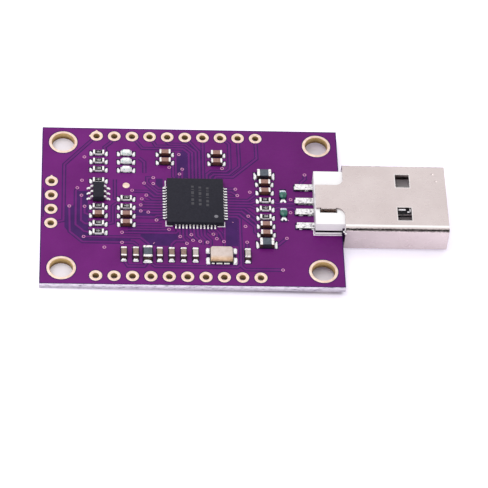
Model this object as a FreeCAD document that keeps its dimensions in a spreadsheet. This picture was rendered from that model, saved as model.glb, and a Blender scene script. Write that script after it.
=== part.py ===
import FreeCAD, Part
import math
import os
import re

import Sketcher

# USB to serial adapter module: a small circuit board with a USB plug at its right-hand end.
# Frame: origin at the centre of the four mounting holes, on the underside of the board.
# +X runs towards the plug's mouth, +Y to the back row of header holes, +Z out of the component side.
# Sizes are in millimetres.

SIZES = [
    ("board_thickness", 1.0, "circuit board"),
    ("copper", 0.04, "thickness of the gold plated copper"),
    ("row_start_gap", 4.77, "left mounting holes to the first header hole of each row, along X"),
    ("row_end_gap", 8.77, "last header hole of each row to the right mounting holes, along X"),
    ("end_margin", 3.0, "mounting holes to the board's ends"),
    ("header_margin", 1.5, "header rows to the board's long edges"),
    ("hole_margin", 2.77, "mounting holes to the board's long edges"),
    ("hole_radius", 1.6, "clear bore of a mounting hole"),
    ("ring_radius", 2.03, "gold ring round a mounting hole"),
    ("header_pitch", 2.54, "header holes, centre to centre"),
    ("header_count", 10, "header holes in the back row and in the front row"),
    ("header_span", 25.4, "back row to front row"),
    ("header_bore", 0.5, "radius of a header hole"),
    ("header_pad", 0.9, "radius of a header hole's gold pad"),
    ("side_count", 4, "header holes in the left column"),
    ("side_margin", 1.44, "left column of header holes to the board's left end"),
    ("side_y", 0.31, "middle of the left column"),
    ("test_pad_drop", 0.14, "middle of the space in front of the lamps to the test pad"),
    ("test_pad_radius", 0.5, "round test pad"),
    ("plug_gap", 0.2, "board's edge to the plug's shell"),
    ("plug_length", 14.6, "shell beyond the board"),
    ("plug_width", 12.0, "shell along Y"),
    ("plug_height", 4.5, "shell along Z"),
    ("plug_rise", 2.6, "top of the shell above the board's component side"),
    ("sheet", 0.3, "thickness of the shell's steel"),
    ("fold_radius", 0.55, "outside of the shell's long folds"),
    ("window_length", 2.0, "spring windows along X"),
    ("window_width", 2.35, "spring windows along Y"),
    ("window_spacing", 6.0, "spring windows, centre to centre along Y"),
    ("window_setback", 6.15, "mouth of the plug to the middle of the windows"),
    ("tongue_reach", 4.0, "shell's top tongue, back from the shell over the insulator"),
    ("tongue_width", 4.2, "shell's top tongue along Y"),
    ("tongue_fillet", 1.1, "corner where the tongue widens into the shell"),
    ("tab_inset", 0.1, "folded tab to the tongue's hollow corner"),
    ("tab_length", 2.1, "folded tab along X"),
    ("tab_depth", 1.2, "folded tab below the top of the shell"),
    ("tab_gap", 0.35, "folded tab to the front wall of its slot"),
    ("insulator_width", 9.6, "insulator's rear block along Y"),
    ("insulator_overlap", 3.9, "insulator's rear block over the board"),
    ("insulator_groove", 0.4, "height of the groove along each side of the rear block"),
    ("groove_rise", 0.45, "board to the groove"),
    ("groove_depth", 0.3, "depth of the groove"),
    ("plug_backfill", 3.0, "plastic that fills the shell's back end"),
    ("core_setback", 0.6, "mouth of the plug to the core's tip"),
    ("contact_width", 1.0, "USB contact along Y"),
    ("contact_thickness", 0.3, "USB contact"),
    ("contact_outer", 7.0, "outer two contacts, centre to centre"),
    ("contact_inner", 2.0, "inner two contacts, centre to centre"),
    ("contact_setback", 1.6, "mouth of the plug to the contacts' tips"),
    ("contact_tail", 2.5, "contact beyond the insulator, on the board"),
    ("tail_solder", 0.15, "solder round a contact's tail"),
    ("main_chip_x", 0.52, "middle of the main chip"),
    ("main_chip_y", 0.35, "middle of the main chip"),
    ("main_chip_side", 8.0, "main chip's square body"),
    ("main_chip_height", 0.85, "main chip's body"),
    ("marker_radius", 0.3, "round dimple in the main chip's first corner"),
    ("marker_inset", 1.1, "main chip's edges to the dimple"),
    ("marker_depth", 0.05, "depth of the dimple"),
    ("terminal_pitch", 0.5, "main chip's terminals, centre to centre"),
    ("terminal_count", 12, "main chip's terminals on each side"),
    ("terminal_width", 0.25, "main chip's terminal"),
    ("terminal_reach", 0.5, "terminal out from the main chip's body"),
    ("terminal_rise", 0.3, "terminal up the main chip's side"),
    ("terminal_foot", 0.1, "terminal's height at its outer end"),
    ("memory_gap", 0.52, "memory chip's ends to the resistors beside it"),
    ("memory_width", 1.6, "memory chip's body along X"),
    ("memory_length", 2.9, "memory chip's body along Y"),
    ("memory_height", 1.0, "memory chip's body"),
    ("memory_standoff", 0.1, "board to the memory chip's body"),
    ("memory_draft", 6.0, "slope of the memory chip's sides in degrees"),
    ("lead_pitch", 0.95, "memory chip's leads, centre to centre"),
    ("lead_shoulder", 0.25, "memory chip's body to the outer leg of its leads"),
    ("lead_width", 0.4, "memory chip's lead"),
    ("lead_thickness", 0.15, "memory chip's lead"),
    ("lead_foot", 0.45, "flat foot of a lead"),
    ("crystal_x", 4.06, "middle of the crystal"),
    ("crystal_drop", 0.07, "front row's middle to the crystal's middle"),
    ("crystal_gap", 1.145, "solder of the crystal to the capacitors beside it"),
    ("crystal_length", 3.2, "crystal's ceramic base along X"),
    ("crystal_width", 2.5, "crystal's ceramic base along Y"),
    ("crystal_base", 0.35, "height of the ceramic base"),
    ("crystal_lid", 0.4, "height of the metal lid"),
    ("lid_inset", 0.06, "base's edge to the lid"),
    ("lid_corner", 0.35, "corner of the lid"),
    ("small_length", 1.6, "resistors, capacitors, lamps and surge suppressors"),
    ("small_width", 0.8, "resistors, capacitors, lamps and surge suppressors"),
    ("small_cap", 0.3, "end cap of a small chip part"),
    ("resistor_height", 0.45, "resistor"),
    ("capacitor_height", 0.8, "capacitor"),
    ("suppressor_height", 0.5, "surge suppressor"),
    ("lamp_base", 0.3, "height of a lamp's base"),
    ("lamp_lens", 0.35, "height of a lamp's lens above its base"),
    ("lens_slope", 0.12, "how far a lens draws in at each end towards its top"),
    ("bead_length", 2.0, "ferrite bead"),
    ("bead_width", 1.25, "ferrite bead"),
    ("bead_height", 0.9, "ferrite bead"),
    ("bead_cap", 0.4, "end cap of a ferrite bead"),
    ("solder_reach", 0.5, "solder out from an end cap"),
    ("solder_rise", 0.28, "solder up an end cap"),
    ("solder_edge", 0.06, "solder's height at its outer end, and its thickness at the top"),
    ("chip_pitch", 1.53, "rows of small chip parts, centre to centre"),
    ("chip_row_y", 1.04, "row that the middle rows are counted from"),
    ("upper_margin", 3.3, "back row of header holes to the backmost row of small chip parts"),
    ("front_margin", 3.8, "front row of header holes to the front row of small chip parts"),
    ("left_column_margin", 8.08, "board's left end to the column of the memory chip"),
    ("left_column_gap", 2.09, "third resistor of that column to the next one"),
    ("lamp_gap", 1.32, "solder of the left column to the solder of the lamps' column"),
    ("left_pair_x", -3.65, "capacitor pair behind the main chip"),
    ("right_pair_x", 3.73, "capacitor pair behind the main chip"),
    ("bead_gap", 0.68, "solder of the right column's beads to the surge suppressors"),
    ("back_bead_gap", 0.525, "right column's backmost chip part to the bead behind it"),
    ("front_bead_gap", 0.745, "right column's foremost chip part to the bead in front of it"),
    ("front_pitch", 1.66, "parts of the front row, centre to centre"),
    ("suppressor_gap", 1.22, "surge suppressors to the solder of the contacts' tails"),
    ("back_suppressor_y", 1.93, "surge suppressor"),
    ("front_suppressor_y", -1.34, "surge suppressor"),
]
NAMES = {name for name, amount, note in SIZES}

# Directions in the plane of the board, in degrees from +X
RIGHT, BACK, LEFT, FRONT, FULL_TURN = (math.degrees(turn * math.pi / 2) for turn in range(5))
# How a sketch's constraints name the points of its curves, and its own origin
START, END, CENTRE = range(1, 4)
ORIGIN = (-1, START)
# An edge this near to a face counts as lying on it
TOUCHING = 0.01

MAIN_CHIP_SIDES = 4
LEADS_PER_SIDE = 3
PAIR = 2
LAMPS = 3
# Chip parts from the back: those of the right column, between its two beads, and those of the front row
RIGHT_COLUMN = ["capacitor", "capacitor", "resistor", "resistor", "resistor", "capacitor", "capacitor"]
RIGHT_ROWS_BEHIND = 2
RIGHT_ROWS_BEFORE = len(RIGHT_COLUMN) - RIGHT_ROWS_BEHIND - 1
FRONT_ROW = ["capacitor", "capacitor", "ferrite_bead", "capacitor", "capacitor", "capacitor", "capacitor"]

# Places that several pieces share, worked out from the sizes: the board and its holes
ROW_LENGTH = "(header_pitch * (header_count - 1))"
SIDE_LENGTH = "(header_pitch * (side_count - 1))"
HOLE_X = f"((row_start_gap + {ROW_LENGTH} + row_end_gap) / 2)"
END_X = f"({HOLE_X} + end_margin)"
ROW_START = f"(row_start_gap - {HOLE_X})"
HEADER_Y = "(header_span / 2)"
EDGE_Y = f"({HEADER_Y} + header_margin)"
HOLE_Y = f"({EDGE_Y} - hole_margin)"
SIDE_X = f"(side_margin - {END_X})"
SIDE_START = f"(side_y - {SIDE_LENGTH} / 2)"

# The plug
SHELL_START = f"({END_X} + plug_gap)"
MOUTH = f"({SHELL_START} + plug_length)"
PLUG_TOP = "(board_thickness + plug_rise)"
PLUG_BOTTOM = f"({PLUG_TOP} - plug_height)"
INNER_TOP = f"({PLUG_TOP} - sheet)"
INNER_BOTTOM = f"({PLUG_BOTTOM} + sheet)"
REAR_FACE = f"({END_X} - insulator_overlap)"
CONTACT_Z = "(board_thickness + copper)"
TAIL_END = f"({REAR_FACE} - contact_tail)"
TAB_BACK = "(tongue_fillet + tab_inset + tab_length / 2)"
CONTACT_ROWS = ["contact_outer / 2", "contact_inner / 2", "-contact_inner / 2", "-contact_outer / 2"]

# The columns and rows of parts on the board
LEFT_COLUMN_X = f"(left_column_margin - {END_X})"
LAMP_COLUMN_X = f"({LEFT_COLUMN_X} + small_length + 2 * solder_reach + lamp_gap)"
SUPPRESSOR_X = f"({TAIL_END} - tail_solder - suppressor_gap - small_width / 2)"
RIGHT_COLUMN_X = f"({SUPPRESSOR_X} - small_width / 2 - bead_gap - solder_reach - bead_length / 2)"
UPPER_ROW_Y = f"({HEADER_Y} - upper_margin)"
LAST_LAMP_Y = f"({UPPER_ROW_Y} - {LAMPS - 1} * chip_pitch)"
TEST_PAD_Y = f"(({LAST_LAMP_Y} + chip_row_y) / 2 - test_pad_drop)"
MEMORY_RESISTOR_Y = f"({LAST_LAMP_Y} - left_column_gap)"
BESIDE_MEMORY = "(small_width / 2 + memory_gap + memory_length / 2)"
MEMORY_Y = f"({MEMORY_RESISTOR_Y} - {BESIDE_MEMORY})"
LOWER_LEFT_Y = f"({MEMORY_Y} - {BESIDE_MEMORY})"
LEAD_TIP = "(memory_width / 2 + lead_shoulder + lead_foot)"
BESIDE_BEAD = "(small_width + bead_width) / 2"
BACK_BEAD_Y = f"(chip_row_y + {RIGHT_ROWS_BEHIND} * chip_pitch + {BESIDE_BEAD} + back_bead_gap)"
FRONT_BEAD_Y = f"(chip_row_y - {RIGHT_ROWS_BEFORE} * chip_pitch - {BESIDE_BEAD} - front_bead_gap)"
FRONT_ROW_Y = f"(front_margin - {HEADER_Y})"
CRYSTAL_Y = f"({FRONT_ROW_Y} - crystal_drop)"
BESIDE_CRYSTAL = "(crystal_length / 2 + solder_reach + crystal_gap + small_width / 2)"

doc = FreeCAD.newDocument("usb_serial_adapter")


def make_sheet():
    """Put every size into one spreadsheet, with its name as the cell's alias."""
    sheet = doc.addObject("Spreadsheet::Sheet", "Sizes")
    for row, (name, amount, note) in enumerate(SIZES, start=1):
        sheet.set(f"A{row}", note)
        sheet.set(f"B{row}", str(amount))
        sheet.setAlias(f"B{row}", name)
    doc.recompute()


def cells(text):
    """Turn the names of sizes in an expression into their cells."""
    def cell(found):
        word = found.group()
        return f"Sizes.{word}" if word in NAMES else word
    return re.sub(r"[A-Za-z_]\w*", cell, text)


def bind(thing, **properties):
    """Tie properties of an object to expressions of the sizes."""
    for name, text in properties.items():
        thing.setExpression(name, cells(text))


def place(thing, x="0", y="0", z="0"):
    """Tie an object's position to expressions of the sizes."""
    thing.setExpression("Placement.Base.x", cells(x))
    thing.setExpression("Placement.Base.y", cells(y))
    thing.setExpression("Placement.Base.z", cells(z))


def box(name, length, width, height, x, y, z):
    """A box centred on x and y, standing on z."""
    solid = doc.addObject("Part::Box", name)
    bind(solid, Length=length, Width=width, Height=height)
    place(solid, f"{x} - ({length}) / 2", f"{y} - ({width}) / 2", z)
    return solid


def cylinder(name, radius, height, x, y, z):
    """An upright cylinder standing on z."""
    solid = doc.addObject("Part::Cylinder", name)
    bind(solid, Radius=radius, Height=height)
    place(solid, x, y, z)
    return solid


def fuse(name, pieces):
    """Several solids joined into one."""
    joined = doc.addObject("Part::MultiFuse", name)
    joined.Shapes = pieces
    joined.Refine = True
    return joined


def cut(name, base, tool):
    """One solid with another taken out of it."""
    result = doc.addObject("Part::Cut", name)
    result.Base = base
    result.Tool = tool
    return result


def group(name, pieces):
    """Separate solids that share one node."""
    together = doc.addObject("Part::Compound", name)
    together.Links = pieces
    return together


def ramp(name, turn, reach, width, low, high, x, y, z):
    """A fillet of metal against a wall at x, y: high there and low at its outer end.

    turn is the direction in which it runs out, in degrees from +X.
    """
    solid = doc.addObject("Part::Wedge", name)
    bind(solid, Xmin="0", Xmax=reach, Ymin="0", Ymax=high)
    bind(solid, Zmin=f"-({width}) / 2", Zmax=f"({width}) / 2")
    bind(solid, X2min="0", X2max=low, Z2min=f"-({width}) / 2", Z2max=f"({width}) / 2")
    upright = FreeCAD.Rotation(FreeCAD.Vector(1, 0, 0), 90)
    solid.Placement.Rotation = FreeCAD.Rotation(FreeCAD.Vector(0, 0, 1), turn) * upright
    place(solid, x, y, z)
    return solid


def new_body(name, x="0", y="0", z="0"):
    """A PartDesign body placed by expressions."""
    body = doc.addObject("PartDesign::Body", name)
    place(body, x, y, z)
    return body


def sketch_on(body, name, role="XY_Plane", height="0"):
    """A sketch on one of the body's own planes, lifted off it by height."""
    sketch = body.newObject("Sketcher::SketchObject", name)
    plane = next(item for item in body.Origin.OriginFeatures if item.Role == role)
    sketch.AttachmentSupport = [(plane, "")]
    sketch.MapMode = "FlatFace"
    sketch.setExpression("AttachmentOffset.Base.z", cells(height))
    return sketch


def value(text):
    """What an expression of the sizes comes to."""
    return float(doc.Sizes.evalExpression(cells(text)))


def constrain(sketch, text, kind, *where):
    """Add a constraint whose value is an expression of the sizes."""
    index = sketch.addConstraint(Sketcher.Constraint(kind, *where, value(text)))
    sketch.setExpression(f"Constraints[{index}]", cells(text))


def draw_circle(sketch, radius, x="0", y="0"):
    """A circle tied by its radius and its centre."""
    centre = FreeCAD.Vector(value(x), value(y), 0)
    index = sketch.addGeometry(Part.Circle(centre, FreeCAD.Vector(0, 0, 1), value(radius)), False)
    constrain(sketch, radius, "Radius", index)
    constrain(sketch, x, "DistanceX", *ORIGIN, index, CENTRE)
    constrain(sketch, y, "DistanceY", *ORIGIN, index, CENTRE)


def draw_outline(sketch, corners, hollows=None):
    """A closed outline whose corners are tied to pairs of expressions.

    hollows gives, for the number of a corner, the expression of the radius of the quarter circle that
    runs from it to the next corner and curves to the right. The other corners are joined by lines.
    """
    hollows = hollows or {}
    first = sketch.GeometryCount
    points = [FreeCAD.Vector(value(x), value(y), 0) for x, y in corners]
    starts = {}
    for step, start in enumerate(points):
        end = points[(step + 1) % len(points)]
        if step in hollows:
            half = (end - start) / 2
            centre = start + half + FreeCAD.Vector(half.y, -half.x, 0)
            circle = Part.Circle(centre, FreeCAD.Vector(0, 0, 1), value(hollows[step]))
            away = end - centre
            angle = math.atan2(away.y, away.x)
            sketch.addGeometry(Part.ArcOfCircle(circle, angle, angle + math.pi / 2), False)
            starts[step] = END
        else:
            sketch.addGeometry(Part.LineSegment(start, end), False)
            starts[step] = START
    for step, (x, y) in enumerate(corners):
        after = (step + 1) % len(corners)
        end = END if starts[step] == START else START
        join = Sketcher.Constraint("Coincident", first + step, end, first + after, starts[after])
        sketch.addConstraint(join)
        constrain(sketch, x, "DistanceX", *ORIGIN, first + step, starts[step])
        constrain(sketch, y, "DistanceY", *ORIGIN, first + step, starts[step])
        if step in hollows:
            constrain(sketch, hollows[step], "Radius", first + step)


def draw_rectangle(sketch, length, width, x="0", y="0"):
    """A rectangle centred on x and y."""
    low_x, high_x = f"{x} - ({length}) / 2", f"{x} + ({length}) / 2"
    low_y, high_y = f"{y} - ({width}) / 2", f"{y} + ({width}) / 2"
    draw_outline(sketch, [(low_x, low_y), (high_x, low_y), (high_x, high_y), (low_x, high_y)])


def draw_rounded(sketch, length, width, radius):
    """A rectangle with rounded corners, centred on the sketch's origin, drawn clockwise."""
    x, y = f"(({length}) / 2)", f"(({width}) / 2)"
    in_x, in_y = f"({x} - ({radius}))", f"({y} - ({radius}))"
    corners = [(f"-{x}", f"-{in_y}"), (f"-{x}", in_y), (f"-{in_x}", y), (in_x, y),
               (x, in_y), (x, f"-{in_y}"), (in_x, f"-{y}"), (f"-{in_x}", f"-{y}")]
    draw_outline(sketch, corners, {step: radius for step in (1, 3, 5, 7)})


def pad(body, sketch, height, name, both_ways=False, backwards=False, taper="0"):
    """Extrude a sketch into the body."""
    feature = body.newObject("PartDesign::Pad", name)
    feature.Profile = sketch
    feature.Midplane = both_ways
    feature.Reversed = backwards
    bind(feature, Length=height, TaperAngle=taper)
    body.Tip = feature
    return feature


def pocket(body, sketch, depth, name, upwards=False):
    """Cut a sketch out of the body, downwards from the sketch unless told otherwise."""
    feature = body.newObject("PartDesign::Pocket", name)
    feature.Profile = sketch
    feature.Reversed = upwards
    bind(feature, Length=depth)
    body.Tip = feature
    return feature


def row_of(body, feature, sketch, axis, length, count, name):
    """Repeat a feature along a sketch's axis."""
    pattern = body.newObject("PartDesign::LinearPattern", name)
    pattern.Originals = [feature]
    pattern.Direction = (sketch, [axis])
    bind(pattern, Length=length, Occurrences=count)
    body.Tip = pattern


def round_edges(body, feature, radius, name, wanted):
    """Fillet those edges of a feature whose middle is wanted."""
    doc.recompute()
    picked = []
    for number, edge in enumerate(feature.Shape.Edges, start=1):
        if wanted(edge.valueAt((edge.FirstParameter + edge.LastParameter) / 2)):
            picked.append(f"Edge{number}")
    rounded = body.newObject("PartDesign::Fillet", name)
    rounded.Base = (feature, picked)
    bind(rounded, Radius=radius)
    body.Tip = rounded


# The circuit board and what is plated on it
def make_board():
    """The bare board, with its mounting holes and header holes."""
    body = new_body("circuit_board")
    outline = sketch_on(body, "board_outline")
    draw_rectangle(outline, f"2 * {END_X}", f"2 * {EDGE_Y}")
    pad(body, outline, "board_thickness", "board_slab")

    corners = sketch_on(body, "mounting_holes", height="board_thickness")
    for x in (f"-{HOLE_X}", HOLE_X):
        for y in (f"-{HOLE_Y}", HOLE_Y):
            draw_circle(corners, "hole_radius + copper", x, y)
    pocket(body, corners, "board_thickness", "mounting_hole_cuts")

    rows = sketch_on(body, "header_holes", height="board_thickness")
    draw_circle(rows, "header_bore", ROW_START, HEADER_Y)
    draw_circle(rows, "header_bore", ROW_START, f"-{HEADER_Y}")
    first = pocket(body, rows, "board_thickness", "header_hole_cuts")
    row_of(body, first, rows, "H_Axis", ROW_LENGTH, "header_count", "header_rows")

    column = sketch_on(body, "side_holes", height="board_thickness")
    draw_circle(column, "header_bore", SIDE_X, SIDE_START)
    first = pocket(body, column, "board_thickness", "side_hole_cuts")
    row_of(body, first, column, "V_Axis", SIDE_LENGTH, "side_count", "side_column")
    return body


def make_mounting_rings():
    """A plated eyelet in each mounting hole: a ring on each face and the barrel between them."""
    rings = []
    for side_x, x in (("left", f"-{HOLE_X}"), ("right", HOLE_X)):
        for side_y, y in (("front", f"-{HOLE_Y}"), ("back", HOLE_Y)):
            name = f"{side_y}_{side_x}_ring"
            barrel = cylinder(f"{name}_barrel", "hole_radius + copper", "board_thickness", x, y, "0")
            upper = cylinder(f"{name}_upper", "ring_radius", "copper", x, y, "board_thickness")
            lower = cylinder(f"{name}_lower", "ring_radius", "copper", x, y, "-copper")
            solid = fuse(f"{name}_solid", [barrel, upper, lower])
            bore = cylinder(f"{name}_bore", "hole_radius", "board_thickness + 2 * copper", x, y, "-copper")
            rings.append(cut(name, solid, bore))
    return group("mounting_hole_rings", rings)


def make_header_pads(name, axis, count, length, x, y):
    """A row of flat gold rings round the header holes, on the component side."""
    body = new_body(name)
    outline = sketch_on(body, f"{name}_outline", height="board_thickness")
    draw_circle(outline, "header_pad", x, y)
    draw_circle(outline, "header_bore", x, y)
    first = pad(body, outline, "copper", f"{name}_first")
    row_of(body, first, outline, axis, length, count, f"{name}_row")
    return body


# The USB plug
def make_shell():
    """The folded steel shell: a flat tube, with windows, a tongue over the insulator and a tab."""
    body = new_body("usb_shell", SHELL_START, "0", f"{PLUG_TOP} - plug_height / 2")
    section = sketch_on(body, "shell_section", "YZ_Plane")
    draw_rounded(section, "plug_width", "plug_height", "fold_radius")
    draw_rounded(section, "plug_width - 2 * sheet", "plug_height - 2 * sheet", "fold_radius - sheet")
    pad(body, section, "plug_length", "shell_tube")

    windows = sketch_on(body, "shell_windows")
    for y in ("-window_spacing / 2", "window_spacing / 2"):
        draw_rectangle(windows, "window_length", "window_width", "plug_length - window_setback", y)
    pocket(body, windows, "plug_height / 2", "window_cuts", upwards=True)

    tongue = sketch_on(body, "tongue_outline", height="plug_height / 2 - sheet")
    half, wide = "(tongue_width / 2)", "(tongue_width / 2 + tongue_fillet)"
    corners = [("-tongue_reach", f"-{half}"), ("-tongue_fillet", f"-{half}"), ("0", f"-{wide}"),
               ("sheet", f"-{wide}"), ("sheet", wide), ("0", wide),
               ("-tongue_fillet", half), ("-tongue_reach", half)]
    draw_outline(tongue, corners, {1: "tongue_fillet", 5: "tongue_fillet"})
    pad(body, tongue, "sheet", "tongue_plate")

    tab = sketch_on(body, "tab_outline", height="plug_height / 2 - tab_depth")
    draw_rectangle(tab, "tab_length", "sheet", f"-{TAB_BACK}", "-(tongue_width + sheet) / 2")
    folded = pad(body, tab, "tab_depth", "tab_plate")

    def is_fold(middle):
        at_front = abs(middle.y + value("tongue_width / 2 + sheet")) < TOUCHING
        at_top = abs(middle.z - value("plug_height / 2")) < TOUCHING
        return at_front and at_top
    round_edges(body, folded, "sheet - copper", "tab_fold", is_fold)
    return body


def make_insulator():
    """The white plastic: a block over the board, a ledge under it and the core inside the shell.

    The core is as wide as the flat of the shell between its folds.
    """
    core_width = "plug_width - 2 * fold_radius"
    over = "insulator_overlap + plug_gap"
    block_x = f"{REAR_FACE} + ({over}) / 2"
    block = box("rear_block", over, "insulator_width", f"{INNER_TOP} - board_thickness",
                block_x, "0", "board_thickness")
    ledge = box("under_ledge", over, "insulator_width", f"-{INNER_BOTTOM}",
                block_x, "0", INNER_BOTTOM)
    web = box("web", "plug_gap", "insulator_width", f"{INNER_TOP} - {INNER_BOTTOM}",
              f"{END_X} + plug_gap / 2", "0", INNER_BOTTOM)
    filler = box("back_filler", "plug_backfill", core_width, f"{INNER_TOP} - {INNER_BOTTOM}",
                 f"{SHELL_START} + plug_backfill / 2", "0", INNER_BOTTOM)
    core_length = "plug_length - core_setback"
    core = box("core", core_length, core_width, f"{CONTACT_Z} - {INNER_BOTTOM}",
               f"{SHELL_START} + ({core_length}) / 2", "0", INNER_BOTTOM)
    solid = fuse("insulator_solid", [block, ledge, web, filler, core])

    cuts = []
    tunnel = "insulator_overlap + plug_gap + plug_backfill"
    for number, y in enumerate(CONTACT_ROWS, start=1):
        cuts.append(box(f"contact_tunnel_{number}", tunnel, "contact_width", "contact_thickness",
                        f"{REAR_FACE} + ({tunnel}) / 2", y, CONTACT_Z))
        cuts.append(box(f"pad_relief_{number}", "insulator_overlap", "contact_width", "copper",
                        f"{REAR_FACE} + insulator_overlap / 2", y, "board_thickness"))
    slot_width = "sheet + tab_gap"
    slot_y = f"-(tongue_width + {slot_width}) / 2"
    slot_bottom = f"{PLUG_TOP} - tab_depth - tab_gap / 2"
    cuts.append(box("tab_slot", "tab_length + tab_gap", slot_width, "tab_depth",
                    f"{SHELL_START} - {TAB_BACK}", slot_y, slot_bottom))
    for side, sign in (("back", "1"), ("front", "-1")):
        groove_y = f"{sign} * (insulator_width - groove_depth) / 2"
        cuts.append(box(f"{side}_groove", "insulator_overlap", "groove_depth", "insulator_groove",
                        f"{REAR_FACE} + insulator_overlap / 2", groove_y, "board_thickness + groove_rise"))
    return cut("usb_insulator", solid, fuse("insulator_cuts", cuts))


def make_contacts():
    """Four flat strips, from inside the plug through the insulator to their pads on the board."""
    length = f"{MOUTH} - contact_setback - {TAIL_END}"
    middle = f"({MOUTH} - contact_setback + {TAIL_END}) / 2"
    strips = []
    for number, y in enumerate(CONTACT_ROWS, start=1):
        strips.append(box(f"usb_contact_{number}", length, "contact_width", "contact_thickness",
                          middle, y, CONTACT_Z))
    return strips


def make_contact_solder():
    """A bed of solder over each contact's tail."""
    beds = []
    length = "contact_tail + tail_solder"
    width = "contact_width + 2 * tail_solder"
    for number, y in enumerate(CONTACT_ROWS, start=1):
        bed = box(f"tail_bed_{number}", length, width, "copper + contact_thickness + tail_solder",
                  f"{TAIL_END} - tail_solder + ({length}) / 2", y, "board_thickness")
        tail = box(f"tail_space_{number}", "contact_tail", "contact_width", "contact_thickness",
                   f"{TAIL_END} + contact_tail / 2", y, CONTACT_Z)
        beds.append(cut(f"tail_joint_{number}", bed, tail))
    return group("contact_solder", beds)


# The chips
def make_main_chip():
    """The square main chip, with a dimple in its first corner."""
    body = box("main_chip_block", "main_chip_side", "main_chip_side", "main_chip_height",
               "main_chip_x", "main_chip_y", "board_thickness")
    reach = "(main_chip_side / 2 - marker_inset)"
    dimple = cylinder("main_chip_dimple", "marker_radius", "marker_depth",
                      f"main_chip_x + {reach}", f"main_chip_y - {reach}",
                      "board_thickness + main_chip_height - marker_depth")
    return cut("main_chip", body, dimple)


def make_main_terminals():
    """The main chip's terminals: the first one, repeated along a side and round the four sides."""
    body = new_body("main_chip_terminals", "main_chip_x", "main_chip_y", "board_thickness")
    profile = sketch_on(body, "terminal_profile", "XZ_Plane", "terminal_pitch * (terminal_count - 1) / 2")
    wall = "main_chip_side / 2"
    tip = "main_chip_side / 2 + terminal_reach"
    draw_outline(profile, [(wall, "0"), (tip, "0"), (tip, "terminal_foot"),
                           (f"{wall} + terminal_foot", "terminal_rise"), (wall, "terminal_rise")])
    first = pad(body, profile, "terminal_width", "first_terminal", both_ways=True)

    pattern = body.newObject("PartDesign::MultiTransform", "terminal_rows")
    along = body.newObject("PartDesign::LinearPattern", "terminals_along")
    plan = sketch_on(body, "terminal_plan")
    along.Direction = (plan, ["V_Axis"])
    bind(along, Length="terminal_pitch * (terminal_count - 1)", Occurrences="terminal_count")
    around = body.newObject("PartDesign::PolarPattern", "terminals_around")
    around.Axis = (plan, ["N_Axis"])
    around.Angle = FULL_TURN
    around.Occurrences = MAIN_CHIP_SIDES
    pattern.Originals = [first]
    pattern.Transformations = [along, around]
    body.Tip = pattern
    return body


def make_memory_chip():
    """The small memory chip's body, which draws in towards its top and its bottom."""
    half = "memory_height / 2"
    level = f"board_thickness + memory_standoff + {half}"
    body = new_body("memory_chip", LEFT_COLUMN_X, MEMORY_Y, level)
    outline = sketch_on(body, "memory_outline")
    draw_rectangle(outline, "memory_width", "memory_length")
    pad(body, outline, half, "memory_upper", taper="-memory_draft")
    pad(body, outline, half, "memory_lower", backwards=True, taper="-memory_draft")
    return body


def lead_y(step):
    """The place of one of the memory chip's leads, counted from the back."""
    return f"{MEMORY_Y} + ({LEADS_PER_SIDE - 1} / 2 - {step}) * lead_pitch"


def make_memory_leads():
    """Six bent leads, each a shoulder, a leg and a foot."""
    leads = []
    shoulder_z = "board_thickness + memory_standoff + memory_height / 2 - lead_thickness / 2"
    shoulder = "lead_shoulder + lead_thickness"
    for side, sign in (("left", "-1"), ("right", "1")):
        for step in range(LEADS_PER_SIDE):
            name = f"memory_lead_{side}_{step + 1}"
            y = lead_y(step)
            foot = box(f"{name}_foot", "lead_foot", "lead_width", "lead_thickness",
                       f"{LEFT_COLUMN_X} + {sign} * ({LEAD_TIP} - lead_foot / 2)", y, "board_thickness")
            leg = box(f"{name}_leg", "lead_thickness", "lead_width",
                      f"{shoulder_z} + lead_thickness - board_thickness",
                      f"{LEFT_COLUMN_X} + {sign} * ({LEAD_TIP} - lead_foot + lead_thickness / 2)",
                      y, "board_thickness")
            arm = box(f"{name}_arm", shoulder, "lead_width", "lead_thickness",
                      f"{LEFT_COLUMN_X} + {sign} * (memory_width + {shoulder}) / 2", y, shoulder_z)
            leads.append(fuse(name, [foot, leg, arm]))
    return group("memory_chip_leads", leads)


def make_crystal():
    """The crystal's ceramic base and the metal lid on it."""
    base = box("crystal_base", "crystal_length", "crystal_width", "crystal_base",
               "crystal_x", CRYSTAL_Y, "board_thickness")
    lid = new_body("crystal_lid", "crystal_x", CRYSTAL_Y, "board_thickness + crystal_base")
    outline = sketch_on(lid, "lid_outline")
    draw_rounded(outline, "crystal_length - 2 * lid_inset", "crystal_width - 2 * lid_inset", "lid_corner")
    pad(lid, outline, "crystal_lid", "lid_can")
    return [base, lid]


# The small chip parts, each with a cap on both ends and solder against the caps
END_CAPS = []
SOLDER = []
CHIP_KINDS = {
    "resistor": ("small_length", "small_width", "resistor_height", "small_cap"),
    "capacitor": ("small_length", "small_width", "capacitor_height", "small_cap"),
    "surge_suppressor": ("small_length", "small_width", "suppressor_height", "small_cap"),
    "ferrite_bead": ("bead_length", "bead_width", "bead_height", "bead_cap"),
    "lamp": ("small_length", "small_width", "lamp_base", "small_cap"),
}
MADE = {kind: 0 for kind in CHIP_KINDS}


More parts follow.
